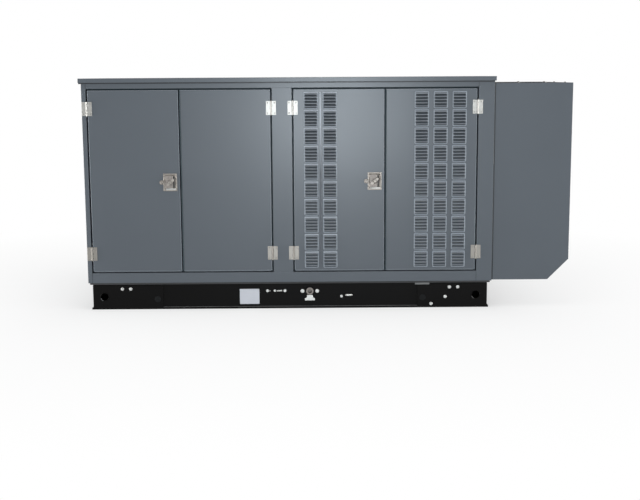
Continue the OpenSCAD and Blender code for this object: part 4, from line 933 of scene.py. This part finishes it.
bolts += bolted([(x, s * 0.25, z_crank - 0.1) for x in mount_x for s in EITHER_WAY], UP, 0.022, 0.01)
bolts += bolted([(x + t, s * 0.25, foot_z) for x in mount_x for s in EITHER_WAY for t in (-0.032, 0.032)], UP,
                0.01, 0.004)
bolts += bolted([(x + t, -0.127, z_crank + 0.31) for x in port_x for t in (-0.029, 0.029)], OUT, 0.009, 0.004)
piece("engine_bolts", bolts, zinc)

core_plug = turned([(0, 0), (0, 0.0255), (0.0016, 0.025), (0.0022, 0.0225), (0.0006, 0.02), (0.0006, 0)], 28)
piece("core_plugs", both([copies(core_plug, [(x, -0.138, z_crank + 0.225) for x in port_x], OUT)]),
      bare_alloy)

filter_x, filter_z = ex0 + 0.43, z_crank - 0.04
can_end = turned([(0, 0), (0, 0.0475), (0.004, 0.0475), (0.01, 0.0415), (0.012, 0.02), (0.01, 0.015),
                  (0.01, 0)], 32)
can = [copies(can_end, (filter_x, -0.292, filter_z), OUT),
       copies(torus(0.049, 0.0018, 32, 8), [(filter_x, y, filter_z) for y in (-0.286, -0.196)], OUT)]
enamel = finish("filter_enamel", (0.32, 0.32, 0.31), 0.35, patch=(0.06, 0.05),
                grain=(0.00005, 0.002))
piece("oil_filter_can", can, enamel)

dip_x, dip_y = ex0 + 0.262, -0.16
dip = rounded_path([(ex0 + 0.25, -0.168, z_crank - 0.02), (ex0 + 0.25, -0.2, z_crank + 0.02),
                    (dip_x, -0.196, z_crank + 0.2), (dip_x, dip_y, z_crank + 0.29)], 0.03)
piece("dipstick_tube", [tube(dip, 0.0045, 10)], zinc)
t = np.linspace(0, 2 * math.pi, 20)
loop = np.column_stack((dip_x + 0.013 * np.sin(t), np.full(20, dip_y), z_crank + 0.303 - 0.013 * np.cos(t)))


def bright_plastic(name, colour):
    """A moulded plastic in a strong colour."""
    return finish(name, colour, 0.42, patch=(0.05, 0.02), grain=(0.00004, 0.001))


yellow = bright_plastic("moulded_yellow", (0.55, 0.33, 0.02))
piece("dipstick_loop", [tube(loop, 0.0022, 8)], yellow)

coils, coil_z = [], z_crank + 0.441
for x in ex0 + 0.1 + 0.11 * np.arange(4):
    coils.append(blocks((x - 0.018, -0.016, coil_z - 0.005), (x + 0.018, 0.016, coil_z + 0.005)))
    coils.append(tube([(x, 0.012, coil_z), (x, 0.034, coil_z)], 0.0065, 12))
filler = turned([(0, 0), (0, 0.03), (0.005, 0.03), (0.007, 0.028), (0.007, 0.011), (0.017, 0.0095),
                 (0.019, 0.006), (0.019, 0)], 24)
coils.append(copies(filler, (ex1 - 0.13, 0.06, z_crank + 0.442)))
piece("coils_and_filler_cap", coils, moulded, round_edges=0.0015)

air_x, air_y, air_z = -0.104, -0.18, 1.065
clips = [copies(torus(0.1195, 0.0022, 48, 8), [(x, air_y, air_z) for x in (air_x - 0.05, air_x + 0.316)],
                RIGHT),
         copies(torus(0.0463, 0.0018, 32, 8), (air_x + 0.345, air_y, air_z), RIGHT),
         copies(blocks((-0.008, -0.006, -0.004), (0.008, 0.006, 0.006)),
                ring(0, air_x - 0.05, (air_y, air_z), 0.12, 4, 0.8))]
piece("air_cleaner_clips", clips, zinc)
cleaner_ribs = [(x, air_y, air_z) for x in np.linspace(air_x + 0.02, air_x + 0.26, 6)]
piece("air_cleaner_ribs", [copies(torus(0.044, 0.0035, 36, 10), (air_x + 0.372, air_y, air_z), RIGHT),
                           copies(torus(0.116, 0.003, 48, 8), cleaner_ribs, RIGHT)], moulded)

# ---- Belt drive, fan and radiator ----
# A vee belt turns the moulded fan inside its ring. A wire guard covers the blades,
# and the finned core stands between pressed tanks behind them.
pulley_x, hub_x = 0.6325, 0.7025
bolts = bolted(ring(0, pulley_x, crank, 0.032, 6), RIGHT, 0.01, 0.0045)
bolts += bolted([(pulley_x, *crank)], RIGHT, 0.024, 0.012)
bolts += bolted(ring(0, hub_x, (0.0, z_fan), 0.045, 6, 0.3), RIGHT, 0.01, 0.0045)
piece("pulley_and_fan_bolts", bolts, zinc)


def on_fan(x, radius, degrees):
    """Points round the fan's axis, at one radius or one for each."""
    t = np.radians(degrees)
    return np.column_stack((np.full(len(t), x), radius * np.cos(t), z_fan + radius * np.sin(t)))


guard_x, arc = 0.638, (-48, 228)
guard = [tube(on_fan(guard_x, r, np.linspace(*arc, 44)), 0.0018, 6) for r in np.linspace(0.15, 0.295, 7)]
guard += [tube(on_fan(guard_x - 0.003, np.array((0.146, 0.3)), (t, t)), 0.0026, 8)
          for t in np.linspace(*arc, 9)]
feet = (-40, 40, 140, 220)
guard += [tube(ends, 0.003, 8) for ends in zip(on_fan(guard_x - 0.003, 0.3, feet), on_fan(0.65, 0.302, feet))]
piece("fan_guard", guard, dark_grille)

core_y, core_low, core_high = 0.3665, 0.2565, 1.0975
tube_y = np.linspace(-core_y + 0.008, core_y - 0.008, 58)
fin_z = np.linspace(core_low + 0.004, core_high - 0.004, 150)
fins = []
for tube_x, fin_x in (((0.8915, 0.8945), (0.8923, 0.8945)), ((0.9385, 0.9415), (0.9385, 0.9407))):
    fins.append(blocks([(tube_x[0], y - 0.0012, core_low) for y in tube_y],
                       [(tube_x[1], y + 0.0012, core_high) for y in tube_y]))
    fins.append(blocks([(fin_x[0], -core_y + 0.001, z - 0.0004) for z in fin_z],
                       [(fin_x[1], core_y - 0.001, z + 0.0004) for z in fin_z]))
core_black = finish("radiator_coat", (0.028, 0.029, 0.03), 0.55, patch=(0.12, 0.08),
                    grain=(0.00015, 0.002), rounded=0.0012, dust=0.12, specular=0.3)
coat(core_black, "radiator", "baffle_")
core_alloy = finish("core_alloy", (0.2, 0.2, 0.195), 0.55, metallic=0.9,
                    patch=(0.12, 0.05), grain=(0.0001, 0.002))
piece("radiator_fins", fins, core_alloy)
tank = [(0.8865, y, z) for y in np.linspace(-0.34, 0.34, 9) for z in (1.11, 0.244)]
brackets = [(0.8805, s * 0.3835, z) for s in EITHER_WAY for z in np.linspace(0.3, 1.06, 5)]
piece("radiator_bolts", bolted(tank, LEFT, 0.01, 0.0045) + bolted(brackets, LEFT, *M8), zinc)
neck = turned([(0, 0), (0, 0.031), (0.004, 0.031), (0.006, 0.029), (0.006, 0.018), (0.01, 0.016), (0.011, 0)],
              28)
ears = blocks((-0.041, -0.007, 0.0005), (0.041, 0.007, 0.0045))
piece("radiator_cap", [copies(form, (0.8985, -0.18, 1.228)) for form in (neck, ears)], bare_alloy,
      round_edges=0.001)
band = turned([(-0.006, 0), (-0.006, 0.0258), (0.006, 0.0258), (0.006, 0)], 28)
screw_box = blocks((-0.007, 0.025, -0.005), (0.009, 0.034, 0.005))
hose_ends = (((0.5025, 0.06, 0.88), UP), ((0.872, 0.06, 1.144), RIGHT), ((0.872, -0.165, 0.22), RIGHT),
             ((0.5685, -0.14, 0.6), BACK))
piece("hose_clamps", [copies(form, spot, way) for spot, way in hose_ends for form in (band, screw_box)], zinc)
places = [(0.8685, s * 0.38, z) for s in EITHER_WAY for z in np.linspace(0.3, 1.06, 6)]
screwed("shroud_screws", places, LEFT, 0.01, 0.003)
coat(rubber, "coolant_hoses")

# ---- Exhaust and muffler ----
# The cast manifold and its riser are browned by heat. A flexible section leads up to the
# aluminised muffler, which hangs in straps across the hood.
hot_iron = finish("heat_browned_iron", (0.115, 0.072, 0.048), 0.62, metallic=0.55,
                  patch=(0.35, 0.14), grain=(0.0003, 0.003), rounded=0.0015, spread=0.12)
aluminised = finish("aluminised_steel", (0.36, 0.36, 0.35), 0.46, metallic=1.0,
                    patch=(0.16, 0.16), grain=(0.0001, 0.0035), rounded=0.001, dust=0.05, spread=0.08)
coat(hot_iron, "exhaust")
coat(aluminised, "muffler")
up_x, up_y, joint_z = 0.4425, 0.215, (0.915, 1.085)
clamps = [copies(torus(0.046, 0.004, 36, 10), [(up_x, up_y, z) for z in joint_z]),
          copies(torus(0.0415, 0.0034, 36, 10), [(x, up_y, 1.262) for x in (0.7, 1.0)], RIGHT),
          copies(tube([(0.0, -0.02, 0.0), (0.0, 0.02, 0.0)], 0.0045, 8),
                 [(up_x + 0.046, up_y, z) for z in joint_z])]
clamps += bolted(ring(2, 0.874, (up_x, up_y), 0.05, 4, 0.785), UP, *M8)
clamps += bolted([(x + t, 0.127, 0.79 + w) for x in port_x for t, w in ((-0.031, 0.021), (0.031, -0.021))],
                 BACK, *M8)
piece("exhaust_clamps_and_nuts", clamps, hot_iron)
muffler_x, muffler_z = 1.2005, 1.002
hoops = ((0.1135, 0.0022, (-0.268, -0.252, 0.252, 0.268)), (0.1108, 0.003, (-0.319, 0.319)))
straps = [copies(torus(radius, thick, 56, 8), [(muffler_x, y, muffler_z) for y in ys], BACK)
          for radius, thick, ys in hoops]
straps += bolted([(muffler_x + 0.119, y, muffler_z) for y in (-0.26, 0.26)], RIGHT, *M8)
straps.append(blocks((muffler_x - 0.004, -0.318, muffler_z - 0.1125),
                     (muffler_x + 0.004, 0.318, muffler_z - 0.108)))
straps.append(copies(torus(0.039, 0.0036, 32, 8), [(muffler_x, 0.215, 1.134), (muffler_x, -0.215, 1.112)]))
piece("muffler_straps_and_seams", straps, aluminised)

# ---- Alternator ----
# The fabricated drum is bolted to the flywheel housing and stands on feet.
# A ribbed end bell and a lidded terminal box close it.
alternator_coat = finish("alternator_paint", (0.04, 0.052, 0.062), 0.42,
                         patch=(0.08, 0.12), grain=(0.0002, 0.003), rounded=0.002, dust=0.1, spread=0.06,
                         specular=0.4)
coat(alternator_coat, "alternator")
ax0, ax1 = -0.6875, -0.1875
flange = ring(0, ax0 + 0.018, crank, 0.2385, 10, 0.31) * (1.0, 0.995, 1.0)
flange = flange[flange[:, 2] < z_crank + 0.19]
bolts = bolted(flange, RIGHT, 0.0085, 0.004) + bolted(ring(0, ax0 - 0.08, crank, 0.196, 8, 0.39), LEFT, *M8)
bolts += bolted([(ax0 + x, s * 0.225, foot_z) for x in (0.052, 0.108, 0.392, 0.448) for s in EITHER_WAY], UP,
                *M10)
bolts += bolted([(ax0 + x, s * 0.148, 0.892) for x in (0.065, 0.2, 0.335) for s in EITHER_WAY], UP, 0.01,
                0.004)
piece("alternator_bolts", bolts, zinc)
bell_x = ax0 - 0.081
spokes = zip(ring(0, bell_x, crank, 0.072, 40), ring(0, bell_x, crank, 0.128, 40))
end_guard = [tube(ends, 0.0022, 6) for ends in spokes]
end_guard += [copies(torus(radius, 0.0035, 48, 8), (bell_x, *crank), LEFT) for radius in (0.128, 0.071)]
hub = turned([(-0.002, 0), (-0.002, 0.05), (0.006, 0.05), (0.01, 0.044), (0.01, 0)], 32)
end_guard.append(copies(hub, (ax0 - 0.072, *crank), LEFT))
piece("alternator_end_guard", end_guard, alternator_coat)
ribs = []
for t in np.radians(np.arange(-30, 211, 12)):
    if abs(math.cos(t)) > 0.68 or math.sin(t) < 0:
        y, z = 0.2362 * math.cos(t), z_crank + 0.2362 * math.sin(t)
        ribs.append(tube([(ax0 + 0.03, y, z), (ax1 - 0.03, y, z)], 0.0035, 6))
piece("alternator_ribs", ribs, alternator_coat)
eye_foot = turned([(0, 0), (0, 0.018), (0.006, 0.018), (0.01, 0.01), (0.018, 0.007), (0.018, 0)], 20)
piece("lifting_eye", [copies(torus(0.02, 0.006, 28, 10), (ax1 - 0.06, 0, z_crank + 0.258), RIGHT),
                      copies(eye_foot, (ax1 - 0.06, 0, z_crank + 0.234))], alternator_coat)

# ---- Gas train ----
# Threaded steel pipe, unions and a diaphragm regulator carry the fuel up to the throttle.
gas_grey = finish("gas_pipe_paint", (0.24, 0.25, 0.26), 0.48, patch=(0.08, 0.06),
                  grain=(0.00012, 0.0022), rounded=0.0012, dust=0.08)
coat(gas_grey, "gas_train")
pipe_y, reg_z = -0.247, 0.62
screws = bolted(ring(1, pipe_y - 0.008, (gas_x, reg_z), 0.0875, 10, 0.2), OUT, 0.007, 0.0035)
screws += bolted(ring(1, pipe_y - 0.052, (gas_x, reg_z), 0.042, 6, 0.1), OUT, 0.006, 0.003)
piece("regulator_screws", screws, zinc)
unions = []
for z, tall in ((0.252, 0.018), (0.512, 0.018), (0.718, 0.016)):
    unions.append(copies(turned([(0, 0), (0, 0.03), (tall, 0.03), (tall, 0)], 6), (gas_x, pipe_y, z)))
    unions.append(copies(torus(0.019, 0.0028, 28, 8),
                         [(gas_x, pipe_y, z - 0.004), (gas_x, pipe_y, z + tall + 0.004)]))
piece("pipe_unions", unions, fitting_iron, round_edges=0.0012)
spring_cap = turned([(0, 0), (0, 0.019), (0.016, 0.019), (0.018, 0.017), (0.018, 0.0095), (0.026, 0.009),
                     (0.027, 0)], 24)
vent_y = pipe_y - 0.03
vent = rounded_path([(gas_x + 0.07, vent_y, reg_z + 0.03), (gas_x + 0.1, vent_y, reg_z + 0.045),
                     (gas_x + 0.1, vent_y, reg_z + 0.015)], 0.02)
piece("regulator_cap_and_vent",
      [copies(spring_cap, (gas_x, pipe_y - 0.052, reg_z), OUT), tube(vent, 0.0048, 12),
       copies(torus(0.069, 0.003, 48, 8), (gas_x, pipe_y - 0.042, reg_z), OUT)], gas_grey)
coil = turned([(0, 0), (0, 0.02), (0.002, 0.0215), (0.034, 0.0215), (0.036, 0.02), (0.036, 0.007),
               (0.044, 0.006), (0.044, 0)], 24)
piece("shut_off_valve", [copies(coil, (gas_x, pipe_y - 0.012, 0.36), OUT),
                         blocks((gas_x - 0.024, pipe_y - 0.022, 0.336),
                                (gas_x + 0.024, pipe_y + 0.022, 0.384))],
      moulded, round_edges=0.0015)

# ---- Battery ----
# A moulded starter battery sits in a steel tray under a hold-down bar, with capped posts.
bx, by, bz = -1.2895, -0.3765, 0.365
bar_x, rod_y = bx + 0.13, (by - 0.007, by + 0.18)
hold = [tube([(bar_x, y, bz + 0.0065) for y in (by - 0.01, by + 0.183)], 0.0065, 10)]
hold += [tube([(bar_x, y, 0.172), (bar_x, y, bz + 0.022)], 0.0035, 8) for y in rod_y]
hold += bolted([(bar_x, y, bz + 0.0125) for y in rod_y], UP, 0.01, 0.005)
piece("battery_hold_down", hold, zinc)
post_cap = turned([(0, 0), (0, 0.015), (0.012, 0.015), (0.018, 0.012), (0.02, 0)], 20)
red_cap = bright_plastic("moulded_red", (0.42, 0.02, 0.015))
piece("battery_live_cap", [copies(post_cap, (bx + 0.035, by + 0.04, bz + 0.001)),
                           blocks((bx + 0.024, by + 0.036, bz), (bx + 0.046, by + 0.076, bz + 0.01))],
      red_cap, round_edges=0.0015)
vent_cap = turned([(0, 0), (0, 0.011), (0.003, 0.011), (0.0042, 0.0095), (0.0042, 0)], 16)
rib_x = np.linspace(bx + 0.012, bx + 0.248, 19)
piece("battery_caps_and_ribs",
      [copies(vent_cap, [(bx + 0.04 + 0.036 * k, by + 0.11, bz) for k in (0, 1, 4, 5)]),
       copies(post_cap, (bx + 0.225, by + 0.04, bz + 0.001)),
       blocks([(x - 0.002, by - 0.0015, 0.215) for x in rib_x],
              [(x + 0.002, by, 0.33) for x in rib_x])], moulded, round_edges=0.0008)

# ---- Control box ----
# A painted sheet box on two uprights holds the controller, with a blank display, push buttons
# and a main breaker.
control_grey = finish("control_box_paint", (0.3, 0.32, 0.33), 0.42, patch=(0.04, 0.2),
                      grain=(0.00006, 0.0025), rounded=0.0018, dust=0.05, spread=0.04)
coat(control_grey, "control_box")
cx, cy, cz = -1.3535, -0.4005, 0.72
glass = finish("display_glass", (0.01, 0.013, 0.012), 0.12, patch=(0.1, 0.1),
               grain=(0.000004, 0.002), spread=0.02)
display = blocks((cx + 0.074, cy + 0.0005, cz + 0.275), (cx + 0.206, cy + 0.0025, cz + 0.325))
piece("blank_display", [display], glass, round_edges=0.0006)
bezel = frame_bars(cx + 0.068, cx + 0.212, cz + 0.269, cz + 0.331, cy - 0.0005, cy + 0.0025, 0.006)
key = turned([(0, 0), (0, 0.0075), (0.0022, 0.0072), (0.0034, 0.0052), (0.0036, 0)], 16)
keys = copies(key, [(cx + 0.085 + 0.0275 * k, cy + 0.002, cz + 0.259) for k in range(5)], OUT)
piece("controller_bezel_and_keys", [bezel, keys], moulded, round_edges=0.0008)
corners = [(cx + a, cy, cz + b) for a in (0.014, 0.386) for b in (0.014, 0.21, 0.406)]
piece("control_box_screws_and_rings", [
    copies(torus(0.0135, 0.0022, 24, 8), [(cx + 0.29 + 0.036 * k, cy, cz + 0.33) for k in range(3)], OUT),
    copies(torus(0.0225, 0.0025, 32, 8), (cx + 0.33, cy, cz + 0.26), OUT),
    copies(dome_screw(0.01, 0.003), corners, OUT)], stainless)
piece("breaker_face", [blocks((cx + 0.068, cy - 0.0165, cz + 0.062), (cx + 0.142, cy - 0.014, cz + 0.158)),
                       blocks((cx + 0.092, cy - 0.026, cz + 0.1), (cx + 0.118, cy - 0.016, cz + 0.124))],
      moulded, round_edges=0.0012)
